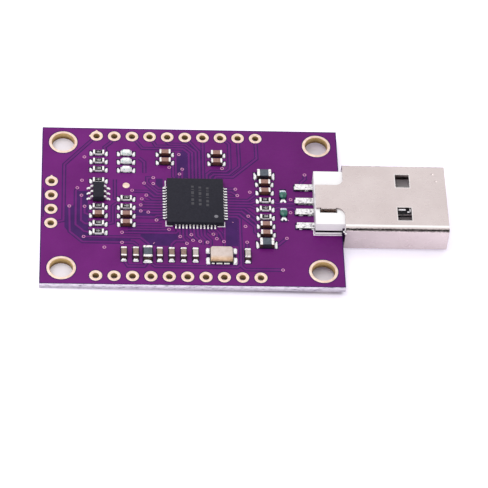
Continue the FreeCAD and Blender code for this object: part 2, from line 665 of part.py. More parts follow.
def make_chip(kind, x, y, along="x"):
    """A chip part at x, y, whose long side runs along x or y."""
    length, width, height, cap = CHIP_KINDS[kind]
    MADE[kind] += 1
    name = f"{kind}_{MADE[kind]:02d}"
    middle = f"({length} - 2 * {cap})"
    level = "board_thickness"
    if along == "x":
        body = box(name, middle, width, height, x, y, level)
    else:
        body = box(name, width, middle, height, x, y, level)
    for sign in ("-1", "1"):
        to_cap = f"{sign} * ({length} - {cap}) / 2"
        to_end = f"{sign} * {length} / 2"
        label = f"{name}_{'low' if sign == '-1' else 'high'}"
        if along == "x":
            END_CAPS.append(box(f"{label}_cap", cap, width, height, f"{x} + {to_cap}", y, level))
            turn = LEFT if sign == "-1" else RIGHT
            spot = (f"{x} + {to_end}", y)
        else:
            END_CAPS.append(box(f"{label}_cap", width, cap, height, x, f"{y} + {to_cap}", level))
            turn = FRONT if sign == "-1" else BACK
            spot = (x, f"{y} + {to_end}")
        SOLDER.append(ramp(f"{label}_solder", turn, "solder_reach", width,
                           "solder_edge", "solder_rise", *spot, level))
    return body


def make_lamp(x, y):
    """An indicator lamp: a flat base with a block of clear resin on it, drawn in at its ends."""
    base = make_chip("lamp", x, y)
    base.Label = base.Name + "_base"
    lens = doc.addObject("Part::Wedge", base.Name + "_lens")
    across = "(small_length - 2 * small_cap) / 2"
    deep = "small_width / 2"
    bind(lens, Xmin=f"-{across}", Xmax=across, Zmin=f"-{deep}", Zmax=deep, Ymin="0", Ymax="lamp_lens")
    bind(lens, X2min=f"lens_slope - {across}", X2max=f"{across} - lens_slope")
    bind(lens, Z2min=f"lens_slope / 2 - {deep}", Z2max=f"{deep} - lens_slope / 2")
    lens.Placement.Rotation = FreeCAD.Rotation(FreeCAD.Vector(1, 0, 0), 90)
    place(lens, x, y, "board_thickness + lamp_base")
    return fuse(f"indicator_lamp_{MADE['lamp']}", [base, lens])


def make_small_parts():
    """Every resistor, capacitor, ferrite bead, surge suppressor and lamp, column by column."""
    nodes = []

    def below(start, row):
        return f"{start} - {row} * chip_pitch"

    for row in range(LAMPS):
        nodes.append(make_chip("resistor", LEFT_COLUMN_X, below(UPPER_ROW_Y, row)))
        nodes.append(make_lamp(LAMP_COLUMN_X, below(UPPER_ROW_Y, row)))
    nodes.append(make_chip("resistor", LEFT_COLUMN_X, MEMORY_RESISTOR_Y))
    for row, kind in enumerate(["resistor", "capacitor", "resistor", "resistor"]):
        nodes.append(make_chip(kind, LEFT_COLUMN_X, below(LOWER_LEFT_Y, row)))
    for row, kind in enumerate(["resistor", "resistor", "capacitor", "capacitor"]):
        nodes.append(make_chip(kind, LAMP_COLUMN_X, below("chip_row_y", row)))
    for x in ("left_pair_x", "right_pair_x"):
        for row in range(PAIR):
            nodes.append(make_chip("capacitor", x, below(UPPER_ROW_Y, row)))

    nodes.append(make_chip("ferrite_bead", RIGHT_COLUMN_X, BACK_BEAD_Y))
    for row, kind in enumerate(RIGHT_COLUMN):
        nodes.append(make_chip(kind, RIGHT_COLUMN_X, below("chip_row_y", row - RIGHT_ROWS_BEHIND)))
    nodes.append(make_chip("ferrite_bead", RIGHT_COLUMN_X, FRONT_BEAD_Y))
    for y in ("back_suppressor_y", "front_suppressor_y"):
        nodes.append(make_chip("surge_suppressor", SUPPRESSOR_X, y, along="y"))

    for left, kind in zip(reversed(range(len(FRONT_ROW))), FRONT_ROW):
        x = f"crystal_x - {BESIDE_CRYSTAL} - {left} * front_pitch"
        nodes.append(make_chip(kind, x, FRONT_ROW_Y, along="y"))
    nodes.append(make_chip("capacitor", f"crystal_x + {BESIDE_CRYSTAL}", FRONT_ROW_Y, along="y"))
    return nodes


def make_crystal_solder():
    """Solder at the crystal's four corners."""
    width = "crystal_width / 2 - lid_corner / 2"
    for side, sign, turn in (("left", "-1", LEFT), ("right", "1", RIGHT)):
        for end, way in (("front", "-1"), ("back", "1")):
            SOLDER.append(ramp(f"crystal_solder_{end}_{side}", turn, "solder_reach", width,
                               "solder_edge", "solder_rise",
                               f"crystal_x + {sign} * crystal_length / 2",
                               f"{CRYSTAL_Y} + {way} * (crystal_width - ({width})) / 2",
                               "board_thickness"))


def make_lead_solder():
    """Solder at the tips of the memory chip's leads."""
    for side, sign, turn in (("left", "-1", LEFT), ("right", "1", RIGHT)):
        for step in range(LEADS_PER_SIDE):
            SOLDER.append(ramp(f"lead_solder_{side}_{step + 1}", turn, "solder_reach / 2", "lead_width",
                               "solder_edge", "lead_thickness",
                               f"{LEFT_COLUMN_X} + {sign} * {LEAD_TIP}", lead_y(step), "board_thickness"))


def build():
    """Make every piece and return the objects that become nodes."""
    make_sheet()
    rows = ("H_Axis", "header_count", ROW_LENGTH, ROW_START)
    nodes = [
        make_board(),
        make_mounting_rings(),
        make_header_pads("back_header_pads", *rows, HEADER_Y),
        make_header_pads("front_header_pads", *rows, f"-{HEADER_Y}"),
        make_header_pads("side_header_pads", "V_Axis", "side_count", SIDE_LENGTH, SIDE_X, SIDE_START),
        cylinder("test_pad", "test_pad_radius", "copper", LAMP_COLUMN_X, TEST_PAD_Y, "board_thickness"),
        make_shell(),
        make_insulator(),
        make_contact_solder(),
        make_main_chip(),
        make_main_terminals(),
        make_memory_chip(),
        make_memory_leads(),
    ]
    nodes += make_contacts()
    nodes += make_crystal()
    nodes += make_small_parts()
    make_crystal_solder()
    make_lead_solder()
    nodes.append(group("chip_end_caps", END_CAPS))
    nodes.append(group("solder_fillets", SOLDER))
    return nodes


def check(nodes):
    """Stop if a feature failed or a piece is not a sound solid."""
    for item in doc.Objects:
        if "Invalid" in item.State or "Error" in item.State:
            raise RuntimeError(f"{item.Name} failed: {item.State}")
    for node in nodes:
        if node.Shape.isNull() or not node.Shape.isValid() or not node.Shape.Solids:
            raise RuntimeError(f"{node.Label} is not a valid solid")


def export(nodes):
    """Write one STEP file for each node."""
    os.makedirs("parts", exist_ok=True)
    for node in nodes:
        node.Shape.exportStep(f"parts/{node.Label}.step")
        print(f"{node.Label}: {len(node.Shape.Solids)} solids, {node.Shape.Volume:.3f} mm3")


all_nodes = build()
doc.recompute()
check(all_nodes)
export(all_nodes)
print(len(all_nodes), "nodes")
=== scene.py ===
import math

import bmesh
import bpy
from mathutils import Matrix, Vector, noise


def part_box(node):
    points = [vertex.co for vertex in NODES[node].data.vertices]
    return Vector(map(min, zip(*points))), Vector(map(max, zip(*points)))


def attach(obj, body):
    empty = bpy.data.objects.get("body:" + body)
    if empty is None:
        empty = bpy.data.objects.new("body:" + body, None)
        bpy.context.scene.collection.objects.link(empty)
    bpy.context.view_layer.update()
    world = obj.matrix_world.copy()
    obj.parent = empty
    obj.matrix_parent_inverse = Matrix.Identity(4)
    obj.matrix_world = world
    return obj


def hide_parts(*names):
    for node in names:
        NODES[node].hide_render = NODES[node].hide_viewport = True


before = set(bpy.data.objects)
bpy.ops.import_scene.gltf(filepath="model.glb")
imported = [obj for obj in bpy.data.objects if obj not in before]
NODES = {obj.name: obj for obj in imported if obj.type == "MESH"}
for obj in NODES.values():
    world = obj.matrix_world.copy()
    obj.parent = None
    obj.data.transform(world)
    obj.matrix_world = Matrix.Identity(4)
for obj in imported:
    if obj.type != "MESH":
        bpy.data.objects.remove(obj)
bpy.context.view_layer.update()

# Looks of the USB to serial adapter module. Sizes here are in millimetres, in the frame of the CAD part:
# +X towards the plug's mouth, +Y towards the back row of header holes, +Z out of the component side.
MM = 0.001


def extent(node):
    """Lowest and highest corner of a CAD node, in millimetres."""
    low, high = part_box(node)
    return low / MM, high / MM


def flat(x, y):
    return Vector((x, y))


def up(height):
    return Vector((0, 0, height))


BOARD_LOW, BOARD_HIGH = extent("circuit_board")
BOARD_TOP = BOARD_HIGH.z
SHELL_LOW, SHELL_HIGH = extent("usb_shell")
SHELL_BACK = BOARD_HIGH.x + 0.2
INSULATOR_LOW = extent("usb_insulator")[0]
CHIP_LOW, CHIP_HIGH = extent("main_chip")
CHIP_MIDDLE = (CHIP_LOW + CHIP_HIGH) / 2
CRYSTAL_LOW = extent("crystal_base")[0]
CRYSTAL_HIGH = extent("crystal_lid")[1]


# Colours and materials

def linear(tone):
    """A colour given as on a screen, 0 to 255, as a shader takes it. What a node puts out stays as it is."""
    if not isinstance(tone, tuple):
        return tone
    shares = [level / 255 for level in tone]
    return (*(s / 12.92 if s <= 0.04045 else ((s + 0.055) / 1.055) ** 2.4 for s in shares), 1.0)


# Values that noise mostly lies between
NOISE_LOW = 0.3
NOISE_HIGH = 0.7


def reckoning(operation):
    """A way to reckon with one signal, or with a signal and a number or another signal."""
    def reckon(self, other=0.0):
        return self.nodes.math(operation, self, other)
    return reckon


class Signal:
    """What a shader node puts out. Numbers can be reckoned with, and a | b is the greater of the two."""

    def __init__(self, nodes, socket):
        self.nodes = nodes
        self.socket = socket

    __add__ = reckoning("ADD")
    __sub__ = reckoning("SUBTRACT")
    __mul__ = reckoning("MULTIPLY")
    __or__ = reckoning("MAXIMUM")
    __gt__ = reckoning("GREATER_THAN")
    __abs__ = reckoning("ABSOLUTE")

    def step(self, start, end, low=0.0, high=1.0):
        """A number that eases from low to high as this one goes from start to end."""
        inputs = {"Value": self, "From Min": start, "From Max": end, "To Min": low, "To Max": high}
        return self.nodes.add("ShaderNodeMapRange", inputs, "Result", interpolation_type="SMOOTHSTEP")

    def between(self, start, full, last, end):
        """A number that eases in from start to full, where it is 1, and out again from last to end."""
        return self.step(start, full) * self.step(end, last)

    def ramp(self, *stops):
        """Colours at places along this number, which runs from 0 to 1."""
        result = self.nodes.add("ShaderNodeValToRGB", {"Fac": self}, "Color")
        band = result.socket.node.color_ramp
        while len(band.elements) < len(stops):
            band.elements.new(1.0)
        for element, (position, tone) in zip(band.elements, stops):
            element.position = position
            element.color = linear(tone)
        return result

    def tones(self, dark, light, low=NOISE_LOW, high=NOISE_HIGH):
        return self.ramp((low, dark), (high, light))

    def spread(self, low, high):
        """A number between low and high that follows this noise."""
        return self.step(NOISE_LOW, NOISE_HIGH, low, high)


class Nodes:
    """Short ways to build a node tree."""

    def __init__(self, tree):
        self.tree = tree

    def add(self, kind, inputs, output, **settings):
        """Add a node, and return one of its outputs. Inputs are given by name or by place."""
        node = self.tree.nodes.new(kind)
        for key, amount in settings.items():
            setattr(node, key, amount)
        for socket, source in inputs.items():
            self.join(source, node.inputs[socket])
        return Signal(self, node.outputs[output])

    def join(self, source, socket):
        if isinstance(source, Signal):
            self.tree.links.new(source.socket, socket)
        else:
            socket.default_value = source

    def math(self, operation, first, second=0.0):
        return self.add("ShaderNodeMath", {0: first, 1: second}, "Value", operation=operation)

    def vector(self, operation, first, second, output="Vector"):
        return self.add("ShaderNodeVectorMath", {0: first, 1: second}, output, operation=operation)

    def mix(self, share, first, second):
        inputs = {"Factor": share, "A": linear(first), "B": linear(second)}
        return self.add("ShaderNodeMix", inputs, "Result", data_type="RGBA")

    def axes(self, source):
        return [self.add("ShaderNodeSeparateXYZ", {"Vector": source}, letter) for letter in "XYZ"]

    def rays(self, kind):
        """1 where the light that is followed is of a kind, such as Camera or Glossy."""
        return self.add("ShaderNodeLightPath", {}, f"Is {kind} Ray")


class Finish(Nodes):
    """A procedural material: a Principled shader, with patterns in millimetres of the part's frame."""

    def __init__(self, name, **constants):
        self.name = name
        self.material = bpy.data.materials.new(name)
        self.material.use_nodes = True
        super().__init__(self.material.node_tree)
        self.shader = self.tree.nodes["Principled BSDF"]
        for socket, amount in constants.items():
            self.shader.inputs[socket.replace("_", " ")].default_value = amount
        metres = self.add("ShaderNodeTexCoord", {}, "Object")
        self.place = self.vector("MULTIPLY", metres, (1 / MM,) * 3)
        self.x, self.y, self.z = self.axes(self.place)
        self.up = self.axes(self.add("ShaderNodeNewGeometry", {}, "Normal"))[2]

    def noise(self, size, detail=3.0, stretch=(1.0, 1.0, 1.0)):
        """Noise whose blotches are about size millimetres across, 0 to 1."""
        inputs = {"Scale": 1 / size, "Detail": detail, "Vector": self.vector("DIVIDE", self.place, stretch)}
        return self.add("ShaderNodeTexNoise", inputs, "Fac")

    def look(self, colour, roughness):
        self.join(colour, self.shader.inputs["Base Color"])
        self.join(roughness, self.shader.inputs["Roughness"])

    def bump(self, source, height):
        """Raise the surface by up to height millimetres where source is 1."""
        self.chain(self.add("ShaderNodeBump", {"Distance": height * MM, "Height": source}, "Normal"))

    def soften(self, radius):
        """Shade sharp edges as if they were rounded to a radius in millimetres."""
        self.chain(self.add("ShaderNodeBevel", {"Radius": radius * MM}, "Normal", samples=6))

    def chain(self, normal):
        """Let a node change the surface's direction after those that do so already."""
        previous = self.shader.inputs["Normal"].links
        if previous:
            self.tree.links.new(previous[0].from_socket, normal.socket.node.inputs["Normal"])
        self.join(normal, self.shader.inputs["Normal"])


def grained(name, dark, light, grain, rough, lumps=0.0, lump_size=0.4, soften=0.0, **constants):
    """A finish with two close tones in blotches, and a slightly uneven sheen and surface."""
    finish = Finish(name, **constants)
    finish.look(finish.noise(grain).tones(dark, light), finish.noise(grain * 1.7).spread(*rough))
    if soften:
        finish.soften(soften)
    if lumps:
        finish.bump(finish.noise(lump_size, 2.0), lumps)
    return finish


def lit_top_shaded_sides(name, top, side):
    """A matt finish with painted light, lighter on top than on the sides. top and side are each two close
    tones.
    """
    finish = Finish(name)
    grain = finish.noise(0.25)
    # Painted light: the top is lighter than the sides
    colour = finish.mix(finish.up.step(0.4, 0.8), grain.tones(*side), grain.tones(*top))
    finish.look(colour, grain.spread(0.4, 0.55))
    finish.bump(finish.noise(0.2), 0.01)
    return finish


# Deep gold of painted shade in the holes
SHADED_HOLE_GOLD = (120, 92, 52)


def make_gold():
    """Pale gold plating: cream on faces, painted shade on hole walls, a deeper gold darkest at their lower
    ends.
    """
    finish = Finish("gold", Metallic=0.35, Specular_IOR_Level=0.4)
    face = finish.noise(0.5).tones((234, 202, 184), (250, 224, 208), 0.35, 0.65)
    # Painted shade: hole walls a deeper gold than the faces, darkest towards the bottom
    wall = finish.noise(0.4).tones((200, 166, 108), (226, 196, 138))
    wall = finish.mix(finish.z.step(0.0, BOARD_TOP), SHADED_HOLE_GOLD, wall)
    finish.look(finish.mix(abs(finish.up).step(0.3, 0.9), wall, face), finish.noise(0.8).spread(0.38, 0.5))
    finish.bump(finish.noise(0.45, 2.0), 0.012)
    return finish


def bright_metal(name, painted_steep_reflection, stain, clean, grain, stretch=(1.0, 1.0, 1.0), lumps=0.03):
    """Solder or tin: white on top with small stains, and a painted dark reflection where it slopes steeply,
    as in a mirror in a room.
    """
    finish = Finish(name, Metallic=0.2)
    stains = finish.noise(grain, 2.0, stretch)
    # Painted dark reflection where the surface slopes steeply, white on top
    colour = finish.mix(finish.up.step(0.15, 0.45), painted_steep_reflection, stains.tones(stain, clean, 0.33, 0.46))
    finish.look(colour, finish.noise(grain * 1.5).spread(0.25, 0.4))
    finish.bump(stains, lumps)
    return finish


MASK_DARK = (106, 24, 111)
MASK_LIGHT = (115, 31, 120)
MASK_SHADED = (86, 16, 90)
GAP_DARK = (60, 24, 88)
GAP_LIGHT = (74, 30, 101)
MASK_GLOSS = 0.13
# How far inside the board's outline the copper stops, and how near to it the bare laminate begins
BORDER = 0.12
CUT = 0.05


def make_board():
    """Glossy purple mask on the faces, plated walls in holes in a darker gold of painted shade, and bare
    flecked laminate along the edges, with painted shade towards their foot.

    The mask looks darker along its border, where the copper stops.
    """
    finish = Finish("board", Specular_IOR_Level=MASK_GLOSS)
    mask = finish.noise(6.0, 4.0).tones(MASK_DARK, MASK_LIGHT, 0.35, 0.65)
    mask = finish.mix(finish.x.step(-6.0, 12.0, 0.0, 0.3), mask, MASK_SHADED)
    flecks = finish.noise(0.5, 3.0, (1.6, 1.6, 0.5))
    bare = flecks.ramp((0.30, (140, 130, 150)), (0.41, (214, 205, 222)), (0.6, (240, 232, 246)))
    # Painted shade: the bare edge darkens towards its foot
    bare = finish.mix(finish.z.step(0.75, 0.2) * 0.5, bare, (140, 132, 148))
    outside = (abs(finish.x) - BOARD_HIGH.x) | (abs(finish.y) - BOARD_HIGH.y)
    # Hole walls in the darker gold of painted shade
    walls = finish.mix(outside > -CUT, finish.noise(0.4).tones(SHADED_HOLE_GOLD, (176, 142, 92)), bare)
    mask = finish.mix(outside.step(-BORDER - 0.05, -BORDER + 0.02), mask, GAP_DARK)
    face = abs(finish.up) > 0.5
    finish.look(finish.mix(face, walls, mask), face.step(0.0, 1.0, 0.85, 0.3))
    finish.bump(flecks, 0.05)
    finish.bump(finish.noise(2.5, 2.0), 0.01)
    return finish


def masked(name, dark, light):
    """Mask with something other than the copper plane under it."""
    return grained(name, dark, light, 1.5, (0.28, 0.34), Specular_IOR_Level=MASK_GLOSS)


# The slot of the insulator, with the heights between which it has painted shade
SLOT_MIDDLE = (19.15, -2.22)
SLOT_HALF = (1.1, 0.2)
SLOT_BLUR = 0.04
SLOT_HEIGHTS = (1.0, 1.1, 3.45, 3.55)


def with_slot(finish, colour):
    """The colour, with painted shade as dark brown streaks in the insulator's slot, where the shell's tab is
    folded in.
    """
    # Painted shade in the slot
    inside = finish.z.between(*SLOT_HEIGHTS)
    for axis, middle, half in zip((finish.x, finish.y), SLOT_MIDDLE, SLOT_HALF):
        inside = inside * abs(axis - middle).step(half + SLOT_BLUR, half)
    painted_slot_shade = finish.noise(0.3, 2.0, (1.0, 1.0, 0.5)).tones((38, 26, 24), (176, 146, 132), 0.42, 0.58)
    return finish.mix(inside, colour, painted_slot_shade)


# Dents, windows, the painted highlights on the rims round them and along the front fold, and where painted
# shade on the sides begins
DENTS = ((34.2, 4.2), (34.6, 2.9))
DENT_RADIUS = 0.35
DENT_DEPTH = 0.06
WINDOW_X = 29.85
WINDOW_Y = 3.0
WINDOW_HALF = (1.0, 1.175)
RIM = 0.14
FOLD_START = SHELL_LOW.y + 0.55
SIDE_SHADE_REACH = (31.0, SHELL_LOW.x + 4.0)


def make_steel():
    """Satin plated sheet, with fine grain along the plug, a coarser skin on the folds and two small dents.

    The rims of the windows and of the front fold have painted highlights, and the folds a ragged painted dark
    reflection. The sides have painted shade, deeper at the back, and the lower fold a painted dark
    reflection.
    """
    finish = Finish("steel", Metallic=1.0)
    along, across, level = finish.x, finish.y, finish.up
    tone = finish.noise(5.0, 5.0).tones((209, 196, 195), (221, 209, 208))
    # Painted shade on the sides, deeper towards the back, and a painted dark reflection on the lower fold
    tone = finish.mix(level.step(0.5, 0.3, 0.0, 0.12), tone, (178, 164, 158))
    back_side_shade = along.step(*SIDE_SHADE_REACH) * level.step(0.5, 0.3)
    low_fold_shade = level.step(-0.1, -0.5) * 0.6
    tone = finish.mix(back_side_shade * 0.35 | low_fold_shade, tone, (150, 138, 142))
    beside = abs(along - WINDOW_X) - WINDOW_HALF[0]
    ahead = abs(abs(across) - WINDOW_Y) - WINDOW_HALF[1]
    # Painted highlights on the rims of the windows and along the front fold
    rim = (beside | ahead).step(RIM, RIM / 2) * 0.6
    fold = across.between(FOLD_START, FOLD_START + RIM, FOLD_START + RIM * 2.5, FOLD_START + RIM * 3.5)
    tone = finish.mix(level.step(0.93, 0.98) * (rim | fold), tone, (255, 252, 252))
    # Painted dark reflection with a ragged edge along the folds
    ragged = level + finish.noise(0.35).spread(-0.12, 0.12)
    fold_dark_reflection = ragged.between(0.35, 0.5, 0.8, 0.95) * level.step(0.96, 0.92)
    tone = finish.mix(fold_dark_reflection * finish.noise(0.3).step(0.3, 0.6, 0.9, 0.45), tone, (96, 84, 88))
    bent = level.between(0.1, 0.35, 0.9, 0.98)
    grain = finish.noise(0.5, 4.0, (3.0, 0.6, 1.0)).spread(0.26, 0.36)
    finish.look(with_slot(finish, tone), grain - bent * 0.14)
    finish.soften(0.07)
    finish.bump(finish.noise(0.22, 3.0, (1.6, 1.0, 1.0)), 0.006)
    finish.bump(bent * finish.noise(0.3, 3.0, (1.0, 0.6, 0.6)), 0.05)
    for x, y in DENTS:
        distance = finish.vector("DISTANCE", finish.place, (x, y, SHELL_HIGH.z), "Value")
        finish.bump(distance.step(DENT_RADIUS, 0.0), -DENT_DEPTH)
    return finish


# Heights between which the groove along the insulator's sides has painted shade, with how it eases in and out
GROOVE = (1.41, 1.43, 1.80, 1.85)
# Front face of the insulator's block behind the shell
BLOCK_FRONT = -4.8
# The dark corner of the insulator under the shell's curled sliver: where it eases in and out along each axis
SHADED_X = (SHELL_BACK - 0.35, SHELL_BACK - 0.3, SHELL_BACK + 0.6, SHELL_BACK + 0.7)
SHADED_Y = (BLOCK_FRONT + 0.10, BLOCK_FRONT + 0.05)
SHADED_Z = (2.45, 2.35)


def make_plastic():
    """White moulded nylon, with painted shade in its slot, along its groove and in the corner behind the
    shell.
    """
    finish = Finish("white_plastic", Specular_IOR_Level=0.4)
    colour = finish.noise(2.0).tones((252, 249, 252), (255, 254, 255))
    # Painted shade along the groove
    colour = finish.mix(finish.z.between(*GROOVE), colour, (40, 28, 44))
    # Painted shade in the corner behind the shell
    shaded = finish.x.between(*SHADED_X) * finish.y.step(*SHADED_Y) * finish.z.step(*SHADED_Z)
    colour = finish.mix(shaded, colour, (50, 16, 60))
    finish.look(with_slot(finish, colour), finish.noise(3.0).spread(0.35, 0.5))
    finish.soften(0.06)
    finish.bump(finish.noise(0.8, 2.0), 0.006)
    return finish


def make_lens():
    """Clear resin over a lamp, milky with a greenish glint."""
    finish = Finish("lamp_resin", Coat_Weight=0.4, Coat_Roughness=0.1)
    glints = finish.noise(0.3, 1.0)
    colour = glints.ramp((0.36, (170, 222, 206)), (0.44, (251, 254, 252)), (0.6, (255, 255, 255)))
    finish.look(colour, glints.spread(0.10, 0.2))
    finish.bump(finish.noise(0.3, 2.0), 0.03)
    return finish


def make_lid():
    """Satin metal of the crystal's lid, which turns golden towards its front edge."""
    finish = Finish("crystal_lid")
    grain = finish.noise(0.5)
    pale = grain.tones((202, 184, 176), (218, 202, 196))
    golden = grain.tones((198, 162, 128), (228, 194, 164))
    forward = finish.y.step(CRYSTAL_LOW.y + 0.95, CRYSTAL_LOW.y + 0.2)
    finish.look(finish.mix(forward, pale, golden), grain.spread(0.3, 0.4))
    finish.soften(0.05)
    finish.bump(finish.noise(0.8), 0.008)
    return finish


FINISHES = {finish.name: finish for finish in (
    make_gold(),
    bright_metal("solder", (58, 44, 62), (206, 200, 208), (255, 253, 255), 0.3),
    bright_metal("crinkled_solder", (42, 32, 46), (128, 120, 130), (255, 253, 255), 0.3,
                 (2.0, 0.6, 1.0), 0.06),
    bright_metal("tinned_leads", (176, 168, 174), (196, 188, 190), (255, 252, 252), 0.25),
    bright_metal("tinned_caps", (74, 52, 50), (190, 172, 172), (255, 251, 251), 0.25),
    bright_metal("contact_tin", (46, 34, 48), (186, 180, 182), (252, 250, 250), 0.4),
    make_board(),
    # Mask beside solder, made darker with painted shade
    masked("mask_and_shade_beside_solder", (40, 14, 60), (52, 20, 74)),
    masked("mask_over_laminate", GAP_DARK, GAP_LIGHT),
    masked("mask_over_copper", (104, 28, 112), (112, 34, 118)),
    grained("via_ring", (196, 120, 168), (226, 164, 198), 0.4, (0.3, 0.4), Specular_IOR_Level=0.3),
    grained("white_ink", (244, 240, 246), (255, 252, 255), 0.3, (0.5, 0.6)),
    make_steel(),
    make_plastic(),
    grained("chip_black", (35, 34, 44), (41, 40, 51), 0.25, (0.5, 0.62), 0.006, 0.12, 0.05,
            Specular_IOR_Level=0.15),
    grained("chip_mark", (104, 102, 110), (128, 126, 134), 0.15, (0.5, 0.6)),
    grained("chip_print", (50, 49, 57), (66, 64, 72), 0.12, (0.5, 0.6)),
    grained("resistor_digits", (206, 202, 206), (232, 228, 232), 0.15, (0.5, 0.6)),
    grained("resistor_black", (20, 18, 22), (34, 32, 36), 0.3, (0.35, 0.5), Specular_IOR_Level=0.12),
    grained("ceramic_white", (236, 232, 238), (254, 250, 254), 0.25, (0.45, 0.6)),
    lit_top_shaded_sides("capacitor_brown", ((138, 98, 88), (164, 124, 114)), ((82, 48, 40), (104, 66, 56))),
    lit_top_shaded_sides("capacitor_umber", ((124, 96, 86), (152, 128, 114)), ((70, 46, 40), (92, 64, 56))),
    lit_top_shaded_sides("capacitor_grey", ((172, 162, 156), (202, 192, 186)), ((96, 86, 82), (120, 110, 104))),
    lit_top_shaded_sides("ferrite", ((64, 72, 84), (88, 98, 110)), ((36, 36, 44), (52, 52, 62))),
    grained("lamp_base", (236, 240, 236), (252, 254, 251), 0.4, (0.4, 0.55)),
    make_lens(),
    grained("suppressor_teal", (2, 62, 56), (14, 112, 96), 0.35, (0.12, 0.2), 0.02, 0.3,
            Coat_Weight=0.5, Coat_Roughness=0.1),
    grained("suppressor_end", (176, 190, 214), (232, 236, 246), 0.3, (0.2, 0.3)),
    grained("crystal_base", (34, 31, 33), (56, 52, 52), 0.3, (0.4, 0.55)),
    make_lid(),
    grained("gold_seal", (120, 96, 62), (170, 142, 98), 0.4, (0.3, 0.4), Metallic=0.7),
)}


# Meshes. Each piece is drawn in millimetres and scaled as it is finished.

def add_object(name, data):
    thing = bpy.data.objects.new(name, data)
    bpy.context.scene.collection.objects.link(thing)
    return thing


def finish_piece(name, mesh, finishes, replaces=(), sharp=40):
    """Make the mesh a shown piece that rides on the part's body, and stands for the nodes it replaces."""
    mesh.transform(Matrix.Scale(MM, 4))
    data = bpy.data.meshes.new(name)
    mesh.to_mesh(data)
    mesh.free()
    for finish in finishes:
        data.materials.append(FINISHES[finish].material)
    data.shade_smooth()
    data.set_sharp_from_angle(angle=math.radians(sharp))
    piece = add_object(name, data)
    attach(piece, "root")
    if replaces:
        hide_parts(*replaces)


def merge(mesh, part, material=0):
    """Move the faces of one mesh into another."""
    for face in part.faces:
        face.material_index = material
    data = bpy.data.meshes.new("scratch")
    part.to_mesh(data)
    part.free()
    mesh.from_mesh(data)
    bpy.data.meshes.remove(data)


def merge_closed(mesh, part, material=0):
    """Turn a closed part's faces outwards, and move them into the mesh."""
    bmesh.ops.recalc_face_normals(part, faces=part.faces[:])
    merge(mesh, part, material)


def add_block(mesh, low, high, bevel=0.05, segments=2, material=0, taper=(0.0, 0.0)):
    """Add a box with rounded edges. taper draws its top in, at each side, along X and along Y."""
    low, high = Vector(low), Vector(high)
    middle = (low + high) / 2
    part = bmesh.new()
    shape = Matrix.Translation(middle) @ Matrix.Diagonal((*(high - low), 1))
    bmesh.ops.create_cube(part, size=1, matrix=shape)
    for vertex in part.verts:
        if vertex.co.z > middle.z:
            vertex.co.x -= math.copysign(taper[0], vertex.co.x - middle.x)
            vertex.co.y -= math.copysign(taper[1], vertex.co.y - middle.y)
    bmesh.ops.bevel(part, geom=part.edges[:], offset=bevel, segments=segments, profile=0.5, affect="EDGES")
    merge(mesh, part, material)


def span(part, row, beyond, closed=True):
    """Add faces between two rows of corners, which run round or end."""
    for at in range(len(row) if closed else len(row) - 1):
        after = (at + 1) % len(row)
        part.faces.new((row[at], beyond[at], beyond[after], row[after]))


def heading(degrees):
    """A step of length 1 in a direction in the plane of the board."""
    angle = math.radians(degrees)
    return flat(math.cos(angle), math.sin(angle))


def add_lathe(mesh, centre, profile, steps=48, material=0):
    """Turn a closed profile of (radius, height) points about an upright axis."""
    part = bmesh.new()
    hub = flat(*centre[:2])
    rings = []
    for step in range(steps):
        out = heading(360 * step / steps)
        rings.append([part.verts.new((*(hub + out * radius), height)) for radius, height in profile])
    for ring, beyond in zip(rings, rings[1:] + rings[:1]):
        span(part, ring, beyond)
    merge_closed(mesh, part, material)


def face_up(part):
    """Turn an open mesh's faces the same way, with its top outside."""
    bmesh.ops.recalc_face_normals(part, faces=part.faces[:])
    if sum(face.normal.z * face.calc_area() for face in part.faces) < 0:
        bmesh.ops.reverse_faces(part, faces=part.faces[:])


def add_plate(mesh, outline, low, high, material=0):
    """Add a flat plate with upright sides. Its outline is a list of points that runs anticlockwise."""
    part = bmesh.new()
    top = [part.verts.new((*spot, high)) for spot in outline]
    foot = [part.verts.new((*spot, low)) for spot in outline]
    part.faces.new(top)
    span(part, foot, top)
    face_up(part)
    merge(mesh, part, material)


def add_sheet(mesh, points):
    """Add a surface through rows of points."""
    part = bmesh.new()
    grid = [[part.verts.new(point) for point in row] for row in points]
    for row, beyond in zip(grid, grid[1:]):
        span(part, row, beyond, False)
    face_up(part)
    merge(mesh, part)


def disc_outline(centre, radius, steps):
    return [flat(*centre) + heading(360 * step / steps) * radius for step in range(steps)]


def box_outline(low, high, margin=0.0):
    left, right, front, back = low[0] - margin, high[0] + margin, low[1] - margin, high[1] + margin
    return [flat(left, front), flat(right, front), flat(right, back), flat(left, back)]


def corners(first, second):
    """Lowest and highest corner of the box between two points."""
    return Vector(map(min, first, second)), Vector(map(max, first, second))


def ribbon_outline(route, width):
    """Outline of a strip of even width along a route of (x, y) points, with mitred corners."""
    route = [flat(*spot) for spot in route]
    left, right = [], []
    for at, spot in enumerate(route):
        before = (spot - route[at - 1]).normalized() if at else None
        after = (route[at + 1] - spot).normalized() if at + 1 < len(route) else None
        along = ((before or after) + (after or before)).normalized()
        stretch = 1 / max(0.5, along.dot(after or before))
        aside = flat(-along.y, along.x) * (width / 2 * stretch)
        left.append(spot + aside)
        right.append(spot - aside)
    return right + left[::-1]


def wobble(x, y, seed, size):
    """A steady random number between -1 and 1 that changes over about size millimetres."""
    return noise.noise(Vector((x / size, y / size, seed * 7.3)))


def dome(share):
    """1 in the middle of a lump, and 0 at its sides, where share is -1 or 1."""
    return math.sqrt(max(0.0, 1 - share ** 4))


MOUND_ACROSS = 10
MOUND_ALONG = 9
# Shares of a mound's reach where it has its full width, and where it starts to narrow again, by TIP_LOSS
MOUND_FULL = 0.6
TIP_START = 0.8
TIP_LOSS = 0.25


